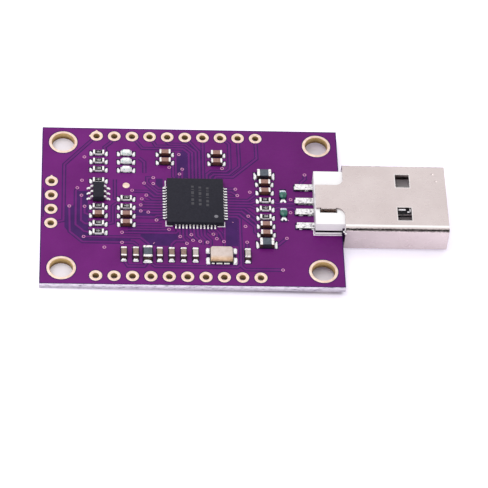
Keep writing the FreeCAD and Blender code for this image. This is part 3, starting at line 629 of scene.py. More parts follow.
def add_mound(mesh, foot, out, width, reach, swell, seed, near=1.0, lean=0.0, climb=0.0):
    """Add a low uneven lump of solder that runs out from foot to a blunt end.

    out is its direction in the plane of the board, near the share of the width that it has at the foot, lean
    how far the foot lies to the front, and climb how much higher it is there.
    """
    out = Vector((*out, 0)).normalized()
    along = Vector((-out.y, out.x, 0))
    rows = []
    for step in range(MOUND_ALONG + 1):
        far = step / MOUND_ALONG
        half = width / 2 * (near + (1 - near) * min(1.0, far / MOUND_FULL))
        half *= 1 - TIP_LOSS * max(0.0, far - TIP_START) / (1 - TIP_START)
        start = Vector(foot) + out * (reach * far) - Vector((0, lean * (1 - far), 0))
        row = []
        for side in range(MOUND_ACROSS + 1):
            share = 2 * side / MOUND_ACROSS - 1
            spot = start + along * (share * half)
            height = dome(share) * (swell * dome(2 * far - 1) + climb * (1 - far))
            row.append(spot + up(height * (1 + 0.4 * wobble(spot.x, spot.y, seed, 0.3))))
        rows.append(row)
    add_sheet(mesh, rows)


# Places on the board

HEADER_COUNTS = {"back_header_pads": 10, "front_header_pads": 10, "side_header_pads": 4}


def header_spots(node):
    """Centres of the pads in one of the rows of header holes."""
    low, high = extent(node)
    radius = min(high.x - low.x, high.y - low.y) / 2
    first, last = flat(low.x + radius, low.y + radius), flat(high.x - radius, high.y - radius)
    count = HEADER_COUNTS[node]
    return [first.lerp(last, step / (count - 1)) for step in range(count)]


BACK, FRONT, SIDE = (header_spots(node) for node in HEADER_COUNTS)
PAD_RADIUS = 0.9
HOLE_RADIUS = 0.5
COPPER = 0.04
PLATED_TOP = BOARD_TOP + COPPER

RING_LOW, RING_HIGH = extent("mounting_hole_rings")
RING_OUTER = 2.03
RING_INNER = 1.6
HOLE_X = RING_HIGH.x - RING_OUTER
HOLE_Y = RING_HIGH.y - RING_OUTER
MOUNTING_HOLES = [(x, y) for x in (-HOLE_X, HOLE_X) for y in (-HOLE_Y, HOLE_Y)]

TERMINAL_PITCH = 0.5
TERMINAL_COUNT = 12
TERMINAL_WIDTH = 0.25
TERMINAL_REACH = 0.5
CHIP_HALF = (CHIP_HIGH.x - CHIP_LOW.x) / 2
OUTWARD = {"right": flat(1, 0), "back": flat(0, 1), "left": flat(-1, 0), "front": flat(0, -1)}

CONTACTS = ("usb_contact_1", "usb_contact_2", "usb_contact_3", "usb_contact_4")
BED_LOW, BED_HIGH = extent("contact_solder")


def crosswise(out):
    """The direction across one that runs along the board's length or width."""
    return flat(abs(out.y), abs(out.x))


def pin(side, number):
    """Outer end of a terminal of the main chip. Numbers run to the right and to the back, from 0."""
    out = OUTWARD[side]
    offset = (number - (TERMINAL_COUNT - 1) / 2) * TERMINAL_PITCH
    return CHIP_MIDDLE.to_2d() + out * (CHIP_HALF + TERMINAL_REACH) + crosswise(out) * offset


# Lengths of the two-ended parts, and of one of their end caps
SMALL_SIZES = {"resistor": (1.6, 0.3), "capacitor": (1.6, 0.3), "ferrite_bead": (2.0, 0.4),
               "indicator_lamp": (1.6, 0.3), "surge_suppressor": (1.6, 0.3)}
SOLDER_REACH = 0.5


class SmallPart:
    """Where one of the two-ended parts lies."""

    def __init__(self, node):
        self.node = node
        self.kind = node.rsplit("_", 1)[0]
        self.low, self.high = extent(node)
        size = self.high - self.low
        self.middle = ((self.low + self.high) / 2).to_2d()
        self.length, self.cap = SMALL_SIZES[self.kind]
        body = self.length - 2 * self.cap
        self.long = flat(1, 0) if abs(size.x - body) < abs(size.y - body) else flat(0, 1)
        self.wide = crosswise(self.long)
        self.width = size.to_2d().dot(self.wide)
        self.height = size.z

    def finish_body(self, mesh, finishes, slot, sharp=40):
        finish_piece(f"{self.node}_body", mesh, finishes, [self.node], sharp)

    def at(self, along, across, up):
        """A point given from the part's middle on the board."""
        return Vector((*(self.middle + self.long * along + self.wide * across), BOARD_TOP + up))

    def end(self, way):
        """The middle of the solder at one of its ends, way being 1 or -1."""
        return self.at(way * (self.length + SOLDER_REACH) / 2, 0, 0).to_2d()


SMALL_PARTS = {node: SmallPart(node) for node in sorted(NODES) if node.rsplit("_", 1)[0] in SMALL_SIZES}


# The board's circuit: routes on the copper layer, read from the photograph in millimetres

VIAS = {
    "left_a": (-15.15, 8.7), "left_b": (-15.45, 4.35), "left_c": (-16.1, 2.95), "left_d": (-15.5, 1.6),
    "left_e": (-17.2, -0.4), "left_f": (-15.05, -0.4), "left_g": (-15.15, -5.85),
    "front_a": (-9.8, -5.0), "front_b": (-9.8, -6.8), "front_c": (-12.25, -7.7), "front_d": (-1.65, -5.6),
    "front_e": (-0.1, -5.25), "front_f": (0.12, -6.25), "front_g": (1.12, -6.4), "front_h": (2.15, -6.55),
    "front_i": (-0.75, -6.8), "front_j": (3.0, -5.1), "front_k": (3.45, -5.9), "front_l": (4.45, -6.4),
    "front_m": (-3.2, -4.35), "front_n": (-4.95, -2.7), "front_o": (-6.1, -1.3),
    "chip_a": (-5.35, 5.05), "chip_b": (-6.65, 4.0), "chip_c": (-5.35, 3.95), "chip_d": (-8.35, 2.65),
    "chip_e": (-6.35, 1.8), "chip_f": (-7.0, 1.1), "chip_g": (-7.15, 0.0), "chip_h": (-7.15, -1.1),
    "back_a": (-1.65, 9.45), "back_b": (-1.2, 6.7), "back_c": (-1.6, 5.8), "back_d": (-3.05, 7.0),
    "back_e": (4.5, 6.95),
    "right_a": (6.3, 3.15), "right_b": (6.55, 2.0), "right_c": (8.35, 2.65), "right_d": (8.0, -1.75),
    "right_e": (7.55, -3.6), "right_f": (7.7, -6.45), "right_g": (13.3, -5.65), "right_h": (14.0, -1.0),
    "right_i": (14.1, 1.4), "right_j": (16.3, 6.0), "right_k": (12.55, -11.3),
}
VIA_OUTER = 0.25
VIA_INNER = 0.15

# Each route is a list of places: a via's name, a terminal of the main chip by side and number, the solder at
# one end of a small part, 1 being its right or back end, a spot, or a header pad.
ROUTES = [
    # Loops round the left column
    [BACK[0], (-13.4, 11.9), (-18.0, 7.25), (-18.0, -3.0), SIDE[0]],
    ["left_e", (-17.1, -4.95), (-15.3, -6.75), (-8.2, -6.75), (-7.6, -7.35)],
    ["left_c", (-16.3, 2.3), (-16.3, -3.7), (-15.1, -4.9), "resistor_07 -1"],
    ["left_d", (-15.55, 1.2), (-15.55, -2.95), (-15.0, -3.5), "resistor_06 -1"],
    ["left_f", (-15.05, -1.6), "capacitor_01 -1"],
    ["left_g", (-7.2, -5.85), (-6.1, -6.95), "ferrite_bead_03 1"],
    [BACK[1], (-11.4, 11.5), (-12.3, 10.6), "resistor_01 1"],
    # Between the two left columns
    [(-10.5, 0.3), (-11.1, -0.3), (-11.1, -3.3), "resistor_06 1"],
    [(-10.8, 4.6), (-10.8, 1.1), "resistor_08 -1"],
    [(-7.4, 8.7), (-6.6, 7.9), (-6.6, 5.9)],
    # Left side of the main chip
    ["left 11", (-4.6, 3.1), "chip_c"],
    ["left 10", (-4.7, 2.6), (-6.2, 4.1), (-6.2, 5.0), "chip_a"],
    ["left 9", (-4.8, 2.1), "chip_b"],
    ["left 8", (-5.2, 1.6), (-6.1, 2.5), (-8.0, 2.5), "chip_d"],
    ["left 7", (-5.5, 1.1), "chip_e"],
    ["left 6", (-6.5, 0.6), "chip_f"],
    ["left 5", (-6.6, 0.1), "chip_g"],
    ["left 4", (-7.4, -0.4), "resistor_09 1"],
    ["left 3", (-6.8, -0.9), "chip_h"],
    ["left 2", (-5.6, -1.4), "front_o"],
    ["left 1", (-4.9, -1.9), (-5.2, -2.15), (-7.9, -2.15), "capacitor_02 1"],
    ["left 0", (-4.4, -2.4), "front_n"],
    [(-4.2, -3.55), "capacitor_03 1"],
    # Back header row to the main chip
    [BACK[2], (-8.35, 11.95), (-6.9, 10.5), (-1.05, 10.5), (-0.23, 9.7), "back 4"],
    [BACK[3], (-5.81, 11.85), (-4.9, 10.95), (-0.85, 10.95), (0.27, 9.85), "back 5"],
    [BACK[4], (-3.27, 11.65), (-2.97, 11.37), (-0.65, 11.37), (0.77, 9.95), "back 6"],
    [BACK[5], (-0.73, 12.05), (1.27, 10.05), "back 7"],
    [BACK[6], (1.81, 11.8), "back 8"],
    [BACK[7], (5.1, 12.05), (5.6, 11.55), (5.6, 6.95), (5.05, 6.4), (2.9, 6.4), (2.27, 5.77), "back 9"],
    [BACK[8], (6.98, 12.0), (6.98, 7.4), (5.43, 5.85), (3.27, 5.85), (2.77, 5.35), "back 10"],
    [BACK[9], (9.5, 12.0), (9.5, 8.9), (6.0, 5.4), (3.57, 5.4), "back 11"],
    ["capacitor_05 1", (-2.5, 7.0), (-2.5, 5.3), "back 0"],
    ["back 1", (-1.73, 5.4), "back_c"],
    ["back 2", (-1.23, 5.6), "back_b"],
    # Right side of the main chip
    ["right 11", "right_a"],
    ["right 10", (5.7, 2.6), "right_b"],
    ["right 8", (6.4, 1.6)],
    ["right 7", (8.05, 1.1), (8.9, 1.95), "capacitor_09 -1"],
    ["right 6", (8.4, 0.6), "resistor_10 -1"],
    ["right 5", (8.3, 0.1), "resistor_11 -1"],
    ["right 4", (7.5, -0.4), (8.9, -1.8), "resistor_12 -1"],
    ["right 3", (7.1, -0.9), (8.9, -2.7), "capacitor_10 -1"],
    ["right 2", (6.7, -1.4), (8.9, -3.6), (8.9, -4.6), "capacitor_11 -1"],
    ["right 1", (6.35, -1.9), (6.77, -2.32), (6.77, -10.75), (7.32, -11.3), "right_k"],
    ["right_f", "capacitor_18 1"],
    ["resistor_10 1", (12.1, 0.65), (14.9, 0.65), (15.2, 1.0)],
    ["resistor_11 1", (12.2, -0.1), (14.4, -0.1), (15.2, -1.0)],
    ["surge_suppressor_01 -1", (13.03, 0.65)],
    ["right_g", (12.15, -6.8), "ferrite_bead_02 1"],
    ["right_j", (16.3, 5.2), (15.7, 4.6), (15.7, 3.5)],
    # Front side of the main chip
    ["front_a", (-2.25, -5.0), (-1.9, -4.6), "front 0"],
    [(-9.0, -4.45), (-4.6, -4.45), "front_m"],
    ["front 1", "front_d"],
    ["front 2", (-1.23, -5.9), "front_i"],
    ["front 3", (-0.73, -5.4), "front_f"],
    ["front 4", "front_e"],
    ["front 5", (0.35, -5.6), "front_g"],
    ["front 6", (0.85, -5.4), (1.5, -6.2), (1.5, -7.0)],
    ["front 7", (1.35, -5.4), "front_h"],
    ["front 8", (1.8, -5.3), (2.6, -6.2), (2.6, -7.1)],
    ["front 9", (2.4, -4.6), "front_j"],
    ["front 10", (2.77, -4.4), (3.5, -5.0), "front_k"],
    ["front 11", (3.9, -4.9), "front_l"],
    [(4.6, -3.0), (4.6, -7.2)],
    ["capacitor_15 1", (-2.9, -7.0), (-2.3, -6.35), (-1.2, -6.35)],
    # Between the front row of parts and the front header row
    ["capacitor_12 -1", (-9.0, -10.95), (-6.7, -10.95), "ferrite_bead_03 -1"],
    [(-5.7, -10.5), (-5.2, -10.95), (6.2, -10.95), (6.77, -10.4)],
]
TRACE_WIDTH = 0.27
TRACE_GAP = 0.17

# Places with no copper plane, which look darker
BARE_AREAS = [
    [(-17.85, -0.3), (-17.85, -4.2), (-17.0, -5.5), (-15.6, -6.6), (-14.5, -6.6), (-14.5, -0.3)],
    [(-16.05, 2.4), (-16.05, -0.3), (-14.6, -0.3), (-14.6, 2.4)],
    [(-20.95, 2.9), (-20.95, -2.4), (-20.75, -2.4), (-20.75, 2.9)],
    [(-2.0, 9.7), (-2.0, 5.1), (-0.5, 5.1), (-0.5, 9.5), (-1.1, 10.15)],
    [(-5.0, 4.9), (-5.0, 3.9), (-4.3, 3.2), (-4.0, 3.3), (-4.0, 4.9)],
    [(4.75, -2.2), (4.75, -7.2), (6.45, -7.2), (6.45, -2.35), (6.0, -1.95), (5.2, -1.95)],
    [(-7.2, -5.3), (-7.2, -6.1), (-6.6, -6.5), (-6.1, -7.3), (-2.9, -7.3), (-2.9, -6.7), (-2.0, -6.1),
     (-2.0, -5.3)],
    [(-7.9, -0.9), (-7.9, -2.0), (-5.5, -2.0), (-5.0, -1.6), (-5.8, -0.9)],
    [(-15.4, -6.2), (-15.4, -6.6), (-8.6, -6.6), (-8.6, -6.2)],
]

# Heights above the mask. Each outline lies a hair above the one before, so that no two faces share a plane.
BARE_RISE = 0.002
GAP_RISE = 0.006
TRACE_RISE = 0.020
VIA_RISE = 0.034
INK_RISE = 0.036
HAIR = 0.0001

# How far the dark mask reaches past pads, and the dark mask with painted shade past beds of solder and round
# the crystal
RING_MARGIN = 0.13
BED_MARGIN = 0.12
CRYSTAL_MARGIN = (0.5, 0.3)


def place(spot):
    """The spot that an entry of a route stands for."""
    if not isinstance(spot, str):
        return flat(*spot)
    if spot in VIAS:
        return flat(*VIAS[spot])
    owner, which = spot.split()
    return pin(owner, int(which)) if owner in OUTWARD else SMALL_PARTS[owner].end(int(which))


def trimmed(route):
    """A route cut back to the rim of the header pad in whose middle it starts or ends."""
    for hub in (route[0], route[-1]):
        if hub in BACK + SIDE:
            outside = [spot for spot in route if (spot - hub).length > PAD_RADIUS]
            rim = hub + (outside[0] - hub).normalized() * (PAD_RADIUS - 0.05)
            route = [rim] + outside
        route = route[::-1]
    return route


def make_circuit():
    """Traces under the mask, the dark gaps beside them, bare places and the dark mask beside solder, with
    painted shade.
    """
    routes = [trimmed([place(spot) for spot in route]) for route in ROUTES]
    gaps = bmesh.new()
    for count, area in enumerate(BARE_AREAS):
        add_plate(gaps, area, BOARD_TOP, BOARD_TOP + BARE_RISE + count * HAIR)
    for count, route in enumerate(routes):
        outline = ribbon_outline(route, TRACE_WIDTH + 2 * TRACE_GAP)
        add_plate(gaps, outline, BOARD_TOP, BOARD_TOP + GAP_RISE + count * HAIR)
    top = BOARD_TOP + GAP_RISE + len(routes) * HAIR
    rings = [(spot, PAD_RADIUS, 48) for spot in BACK + FRONT + SIDE]
    rings += [(spot, RING_OUTER, 96) for spot in MOUNTING_HOLES]
    for spot, radius, steps in rings:
        inner, outer = radius - 0.1, radius + RING_MARGIN
        add_lathe(gaps, spot, [(inner, BOARD_TOP), (inner, top), (outer, top), (outer, BOARD_TOP)], steps)
    beds = []
    for part in SMALL_PARTS.values():
        half = part.long * (part.length / 2 + SOLDER_REACH + 0.10) + part.wide * (part.width / 2 + BED_MARGIN)
        beds.append(box_outline(part.middle - half, part.middle + half))
    for node in CONTACTS:
        low, high = extent(node)
        beds.append(box_outline((BED_LOW.x, low.y), (INSULATOR_LOW.x, high.y), BED_MARGIN))
    for side, out in OUTWARD.items():
        half = crosswise(out) * TERMINAL_PITCH / 2
        first, last = pin(side, 0) - out * TERMINAL_REACH, pin(side, TERMINAL_COUNT - 1) + out * 0.05
        beds.append(box_outline(*corners(first - half, last + half)))
    aside, ahead = CRYSTAL_MARGIN
    low, high = CRYSTAL_LOW, CRYSTAL_HIGH
    beds.append(box_outline((low.x - aside, low.y - ahead), (high.x + aside, high.y - 0.1)))
    # The dark mask beside solder, with painted shade
    for outline in beds:
        add_plate(gaps, outline, BOARD_TOP, top, 1)
    finish_piece("circuit_gaps", gaps, ["mask_over_laminate", "mask_and_shade_beside_solder"])
    traces = bmesh.new()
    for count, route in enumerate(routes):
        top = BOARD_TOP + TRACE_RISE + count * HAIR
        add_plate(traces, ribbon_outline(route, TRACE_WIDTH), BOARD_TOP, top)
    finish_piece("circuit_traces", traces, ["mask_over_copper"])


# Small ticks, as pale as the vias
TICKS = [[(-5.45, -6.98), (-5.25, -6.72)], [(5.72, -2.85), (5.86, -2.97)], [(13.6, -2.35), (13.72, -2.47)]]
TICK_WIDTH = 0.09


def make_vias():
    """Small rings under the mask, each with a dark middle."""
    mesh = bmesh.new()
    top = BOARD_TOP + VIA_RISE
    profile = [(VIA_INNER, BOARD_TOP), (VIA_INNER, top - 0.005), (VIA_INNER + 0.02, top),
               (VIA_OUTER - 0.02, top), (VIA_OUTER, top - 0.008), (VIA_OUTER, BOARD_TOP)]
    for spot in VIAS.values():
        add_lathe(mesh, spot, profile, 24)
        add_plate(mesh, disc_outline(spot, VIA_INNER, 16), BOARD_TOP, top - 0.008, 1)
    for tick in TICKS:
        add_plate(mesh, ribbon_outline(tick, TICK_WIDTH), BOARD_TOP, top)
    finish_piece("vias", mesh, ["via_ring", "mask_over_copper"])


INK_WIDTH = 0.14
INK_LINES = [
    # Corners of the main chip
    [(-3.66, 4.5), (-3.66, 3.45), (-3.95, 3.2)],
    [(-3.62, -2.85), (-3.62, -3.74), (-2.7, -3.74)],
    [(3.6, -3.74), (4.62, -3.74), (4.62, -2.9)],
    # Foot of the plug's insulator
    [(17.15, -3.9), (17.15, -4.98), (21.1, -4.98)],
]


def make_ink():
    mesh = bmesh.new()
    for line in INK_LINES:
        add_plate(mesh, ribbon_outline(line, INK_WIDTH), BOARD_TOP, BOARD_TOP + INK_RISE)
    finish_piece("white_ink", mesh, ["white_ink"])


# The board's plating

TICK_HALF = 0.35
TICK_REACH = 0.2


def make_header_pads():
    """Gold rings with softly rounded rims, and the plated wall of each hole. Two pads have pointed ticks."""
    wall = HOLE_RADIUS - 0.03
    profile = [(wall, 0.02), (wall, PLATED_TOP - 0.05), (HOLE_RADIUS + 0.04, PLATED_TOP),
               (PAD_RADIUS - 0.05, PLATED_TOP), (PAD_RADIUS, PLATED_TOP - 0.025), (PAD_RADIUS, BOARD_TOP),
               (HOLE_RADIUS, BOARD_TOP), (HOLE_RADIUS, 0.02)]
    ticks = {"back_header_pads": (BACK[0], (90, 180)), "side_header_pads": (SIDE[-1], (90,))}
    for node in HEADER_COUNTS:
        mesh = bmesh.new()
        for spot in header_spots(node):
            add_lathe(mesh, spot, profile)
        spot, turns = ticks.get(node, (None, ()))
        for turn in turns:
            out, aside = heading(turn), heading(turn + 90) * TICK_HALF
            near, tip = spot + out * (PAD_RADIUS * 0.85), spot + out * (PAD_RADIUS + TICK_REACH)
            add_plate(mesh, [near - aside, tip, near + aside], BOARD_TOP, PLATED_TOP - 0.002)
        finish_piece(f"gold_{node}", mesh, ["gold"], [node])


def make_mounting_rings():
    """A plated eyelet in each mounting hole."""
    mesh = bmesh.new()
    profile = [(RING_INNER, 0.0), (RING_INNER, PLATED_TOP - 0.08), (RING_INNER + 0.06, PLATED_TOP),
               (RING_OUTER - 0.06, PLATED_TOP), (RING_OUTER, PLATED_TOP - 0.03), (RING_OUTER, BOARD_TOP),
               (RING_INNER + COPPER, BOARD_TOP), (RING_INNER + COPPER, 0.0), (RING_OUTER, 0.0),
               (RING_OUTER, RING_LOW.z), (RING_INNER, RING_LOW.z)]
    for spot in MOUNTING_HOLES:
        add_lathe(mesh, spot, profile, 96)
    finish_piece("gold_mounting_rings", mesh, ["gold"], ["mounting_hole_rings"])


# Where a lathe's profile reaches the axis, it stops this far from it
AXIS = 0.001


def make_test_pad():
    """A low gold dome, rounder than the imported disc."""
    low, high = extent("test_pad")
    radius = (high.x - low.x) / 2
    mesh = bmesh.new()
    profile = [(AXIS, PLATED_TOP), (radius - 0.06, PLATED_TOP), (radius, PLATED_TOP - 0.03),
               (radius, BOARD_TOP), (AXIS, BOARD_TOP)]
    add_lathe(mesh, (low + high) / 2, profile)
    finish_piece("gold_test_pad", mesh, ["gold"], ["test_pad"])


# The chips

# The marker's size and place, and the rows of strokes along X, with each stroke's start and end along Y
MARKER_RADIUS = 0.3
MARKER_INSET = 1.1
MARK_ROWS = (0.15, 1.2, 2.25)
MARK_STROKES = ((3.0, 2.6), (2.4, 2.2), (2.0, 1.4), (1.2, 1.0), (0.7, 0.2), (0.0, -0.5))
MARK_HALF = 0.22
MARK_SHIFT = 0.13


def make_main_chip():
    """Black body with a pale round marker, and three faint rows of plain strokes instead of its print."""
    mesh = bmesh.new()
    add_block(mesh, CHIP_LOW, CHIP_HIGH, 0.06, 3)
    top = CHIP_HIGH.z
    marker = flat(CHIP_HIGH.x - MARKER_INSET, CHIP_LOW.y + MARKER_INSET)
    ring = [(AXIS, top + 0.002), (MARKER_RADIUS - 0.06, top + 0.004), (MARKER_RADIUS - 0.02, top + 0.002),
            (MARKER_RADIUS, top - 0.01), (AXIS, top - 0.01)]
    add_lathe(mesh, marker, ring, 32, 1)
    for row, x in enumerate(MARK_ROWS):
        shift = MARK_SHIFT * row
        for start, end in MARK_STROKES:
            outline = box_outline((x - MARK_HALF, end - shift), (x + MARK_HALF, start - shift), -0.03)
            add_plate(mesh, outline, top - 0.01, top + 0.002, 2)
    finishes = ["chip_black", "chip_mark", "chip_print"]
    finish_piece("main_chip_body", mesh, finishes, ["main_chip"])


# Reach and height of a terminal's solder on the board, and of the part that climbs the chip's side
TERMINAL_STEPS = ((TERMINAL_REACH + 0.10, 0.13), (0.14, 0.28))


def make_main_chip_terminals():
    """Forty eight short terminals, each a bright pad of solder that climbs the chip's side a little."""
    mesh = bmesh.new()
    for side, out in OUTWARD.items():
        half = crosswise(out) * (TERMINAL_WIDTH / 2)
        # The left and right rows take the finish with the darker painted reflection on their sides
        material = int(side in ("left", "right"))
        for number in range(TERMINAL_COUNT):
            foot = pin(side, number) - out * (TERMINAL_REACH + 0.02)
            for reach, height in TERMINAL_STEPS:
                low, high = corners(foot - half, foot + out * reach + half)
                add_block(mesh, (*low, BOARD_TOP), (*high, BOARD_TOP + height), material=material)
    finish_piece("main_chip_solder", mesh, ["tinned_leads", "solder"], ["main_chip_terminals"])


MEMORY_LOW, MEMORY_HIGH = extent("memory_chip")
MEMORY_MIDDLE = (MEMORY_LOW + MEMORY_HIGH) / 2
MEMORY_HALF = (MEMORY_HIGH.x - MEMORY_LOW.x) / 2
LEAD_PITCH = 0.95
LEAD_WIDTH = 0.32
LEAD_THICKNESS = 0.15
LEAD_SHOULDER = MEMORY_MIDDLE.z + 0.02
# The middle line of a lead, as distance from the chip's middle and height
LEAD_BENDS = [(MEMORY_HALF - 0.05, LEAD_SHOULDER), (MEMORY_HALF + 0.16, LEAD_SHOULDER),
              (MEMORY_HALF + 0.25, LEAD_SHOULDER - 0.1), (MEMORY_HALF + 0.30, BOARD_TOP + 0.22),
              (MEMORY_HALF + 0.38, BOARD_TOP + 0.10), (MEMORY_HALF + 0.70, BOARD_TOP + 0.08)]
# Which way each lead runs along X, and its place in its row
LEADS = [(way, number) for way in (-1, 1) for number in (-1, 0, 1)]


def make_memory_chip():
    """Small black body with sloping sides, and six leads that bend down to the board."""
    mesh = bmesh.new()
    add_block(mesh, MEMORY_LOW, MEMORY_HIGH, 0.07, 3, taper=(0.06, 0.06))
    finish_piece("memory_chip_body", mesh, ["chip_black"], ["memory_chip"])
    mesh = bmesh.new()
    upper, lower = [], []
    for at, (x, z) in enumerate(LEAD_BENDS):
        before, after = LEAD_BENDS[max(0, at - 1)], LEAD_BENDS[min(len(LEAD_BENDS) - 1, at + 1)]
        slope = flat(after[0] - before[0], after[1] - before[1]).normalized()
        lift = flat(-slope.y, slope.x) * (LEAD_THICKNESS / 2)
        upper.append((x + lift.x, z + lift.y))
        lower.append((x - lift.x, z - lift.y))
    for way, number in LEADS:
        part = bmesh.new()
        sides = []
        for side in (-1, 1):
            y = MEMORY_MIDDLE.y + number * LEAD_PITCH + side * LEAD_WIDTH / 2
            sides.append([part.verts.new((MEMORY_MIDDLE.x + way * x, y, z)) for x, z in upper + lower[::-1]])
            part.faces.new(sides[-1])
        span(part, *sides)
        merge_closed(mesh, part)
    finish_piece("memory_chip_bent_leads", mesh, ["tinned_leads"], ["memory_chip_leads"])


LID_CORNER = 0.35
LID_EDGE = 0.10
SEAL_INSET = 0.05


def make_crystal():
    """Dark base with a gold seal round its upper edge, and a pale metal lid."""
    low, high = extent("crystal_base")
    mesh = bmesh.new()
    add_block(mesh, low, high)
    inset = flat(SEAL_INSET, SEAL_INSET).to_3d()
    foot = Vector((*low.xy, high.z - 0.04)) + inset
    add_block(mesh, foot, high - inset + up(0.03), 0.01, material=1)
    finish_piece("crystal_body", mesh, ["crystal_base", "gold_seal"], ["crystal_base"])
    low, high = extent("crystal_lid")
    mesh = bmesh.new()
    part = bmesh.new()
    rings = []
    hubs = zip(box_outline(low, high, -LID_CORNER), (180, 270, 0, 90))
    turns = [(hub, turn + 15 * step) for hub, turn in hubs for step in range(7)]
    for inset, height in ((0.0, low.z + 0.02), (0.0, high.z - LID_EDGE),
                          (LID_EDGE * 0.3, high.z - LID_EDGE * 0.35), (LID_EDGE, high.z)):
        spots = [hub + heading(turn) * (LID_CORNER - inset) for hub, turn in turns]
        rings.append([part.verts.new((*spot, height)) for spot in spots])
    for lower, upper in zip(rings, rings[1:]):
        span(part, lower, upper)
    part.faces.new(rings[-1])
    merge_closed(mesh, part)
    finish_piece("crystal_cover", mesh, ["crystal_lid"], ["crystal_lid"], 50)


# The small two-ended parts

DIGIT_STROKES = {
    "0": (((0, 0), (1, 0)), ((0, 2), (1, 2)), ((0, 0), (0, 2)), ((1, 0), (1, 2))),
    "1": (((0.5, 0), (0.5, 2)),),
    "2": (((0, 0), (1, 0)), ((0, 1), (1, 1)), ((0, 2), (1, 2)), ((0, 0), (0, 1)), ((1, 1), (1, 2))),
}
DIGIT_WIDTH = 0.11
DIGIT_HALF = 0.14
DIGIT_PITCH = 0.21
STROKE_WIDTH = 0.05
# How much slimmer a body is than its end caps, on each side, and how much lower
SLIM = 0.03


def add_digits(mesh, part, text, top):
    """Plain digits in straight strokes across the top of a resistor."""
    for count, digit in enumerate(text):
        start = (count - len(text) / 2) * DIGIT_PITCH + DIGIT_WIDTH / 2
        for stroke in DIGIT_STROKES[digit]:
            ends = [part.at(start + x * DIGIT_WIDTH, (y - 1) * DIGIT_HALF, 0).xy for x, y in stroke]
            add_plate(mesh, ribbon_outline(ends, STROKE_WIDTH), top - 0.01, top + 0.003, 2)


def make_resistor(part):
    """White ceramic with a black glaze on top, and a number that means nothing."""
    mesh = bmesh.new()
    inset = part.wide.to_3d() * SLIM
    low, high = part.low + inset, part.high - inset
    add_block(mesh, low, high - up(0.10), 0.02, material=1)
    low, high = low + inset * 2, high - inset * 2
    add_block(mesh, low + up(0.30), high - up(SLIM), 0.03)
    add_digits(mesh, part, "10" + str(int(part.node[-2:]) % 3), part.high.z - SLIM)
    part.finish_body(mesh, ["resistor_black", "ceramic_white", "resistor_digits"], "resistor_black")


def make_chip_body(part, finish, slot):
    """A moulded ceramic block, a little slimmer than its end caps."""
    mesh = bmesh.new()
    slim = part.wide.to_3d() * SLIM - part.long.to_3d() * 0.04
    add_block(mesh, part.low + slim, part.high - slim - up(SLIM), 0.06, 3)
    part.finish_body(mesh, [finish], slot)


LAMP_BASE = 0.3
# How far the lens reaches past the base along X and Y, how much its top draws in, and how far it rises
LENS_REACH = Vector((0.26, -0.02, 0))
LENS_TAPER = (0.32, 0.16)
LENS_RISE = 0.1


def make_lamp(part):
    """White base with a clear lens that slopes in at both ends."""
    mesh = bmesh.new()
    low, high = part.low, part.high
    add_block(mesh, low, (*high.xy, BOARD_TOP + LAMP_BASE), 0.03)
    foot = Vector((*low.xy, BOARD_TOP + LAMP_BASE - 0.05)) - LENS_REACH
    add_block(mesh, foot, high + LENS_REACH + up(LENS_RISE), 0.04, 2, 1, LENS_TAPER)
    part.finish_body(mesh, ["lamp_base", "lamp_resin"], "lamp_resin")


# Half of the bead along X and Y, how far it sits back, and the share of its half where it turns pale
BEAD_HALF = (0.55, 0.76)
BEAD_SHIFT = 0.2
BEAD_PALE_FROM = 0.4


def make_suppressor(part):
    """A glossy teal bead of glass, oval from above, with a pale back end."""
    bead = bmesh.new()
    half = Vector((*BEAD_HALF, part.height / 2))
    middle = part.at(BEAD_SHIFT, 0, part.height / 2)
    shape = Matrix.Translation(middle) @ Matrix.Diagonal((*half, 1))
    bmesh.ops.create_uvsphere(bead, u_segments=28, v_segments=16, radius=1, matrix=shape)
    past = middle.y + half.y * BEAD_PALE_FROM
    mesh = bmesh.new()
    for material, pale in enumerate((False, True)):
        half_bead = bead.copy()
        others = [face for face in half_bead.faces if (face.calc_center_median().y > past) != pale]
        bmesh.ops.delete(half_bead, geom=others, context="FACES")
        merge(mesh, half_bead, material)
    bead.free()
    part.finish_body(mesh, ["suppressor_teal", "suppressor_end"], "suppressor", 80)


GREY_CAPACITORS = ("capacitor_17", "capacitor_18")


def make_small_parts():
    for part in SMALL_PARTS.values():
        if part.kind == "resistor":
            make_resistor(part)
        elif part.node in GREY_CAPACITORS:
            make_chip_body(part, "capacitor_grey", "capacitor_grey")
        elif part.kind == "capacitor":
            make_chip_body(part, "capacitor_brown" if part.long.x else "capacitor_umber", "capacitor_brown")
        elif part.kind == "ferrite_bead":
            make_chip_body(part, "ferrite", "ferrite")
        elif part.kind == "indicator_lamp":
            make_lamp(part)
        else:
            make_suppressor(part)


def make_end_caps():
    """Tinned caps with rounded corners over the ends of every small part but the suppressors; those of
    capacitors and ferrite beads have darker painted shade on their sides.
    """
    mesh = bmesh.new()
    for part in SMALL_PARTS.values():
        height = LAMP_BASE if part.kind == "indicator_lamp" else part.height
        # Painted shade: capacitors and ferrite beads take caps with darker sides
        dark = part.kind in ("capacitor", "ferrite_bead")
        for way in (-1, 1) if part.kind != "surge_suppressor" else ():
            outer = part.at(way * part.length / 2, -part.width / 2, 0.0)
            inner = part.at(way * (part.length / 2 - part.cap), part.width / 2, height)
            add_block(mesh, *corners(outer, inner), min(0.09, height / 3), 3, int(dark))
    finish_piece("small_part_caps", mesh, ["tinned_leads", "tinned_caps"], ["chip_end_caps"], 60)


MOUND_SWELL = 0.11
MOUND_START = 0.05
MOUND_WIDTH = 1.05
# The crystal's solder: places along Y from its front edge, and widths
CRYSTAL_BEDS = ((0.35, 1.2), (2.1, 0.95))
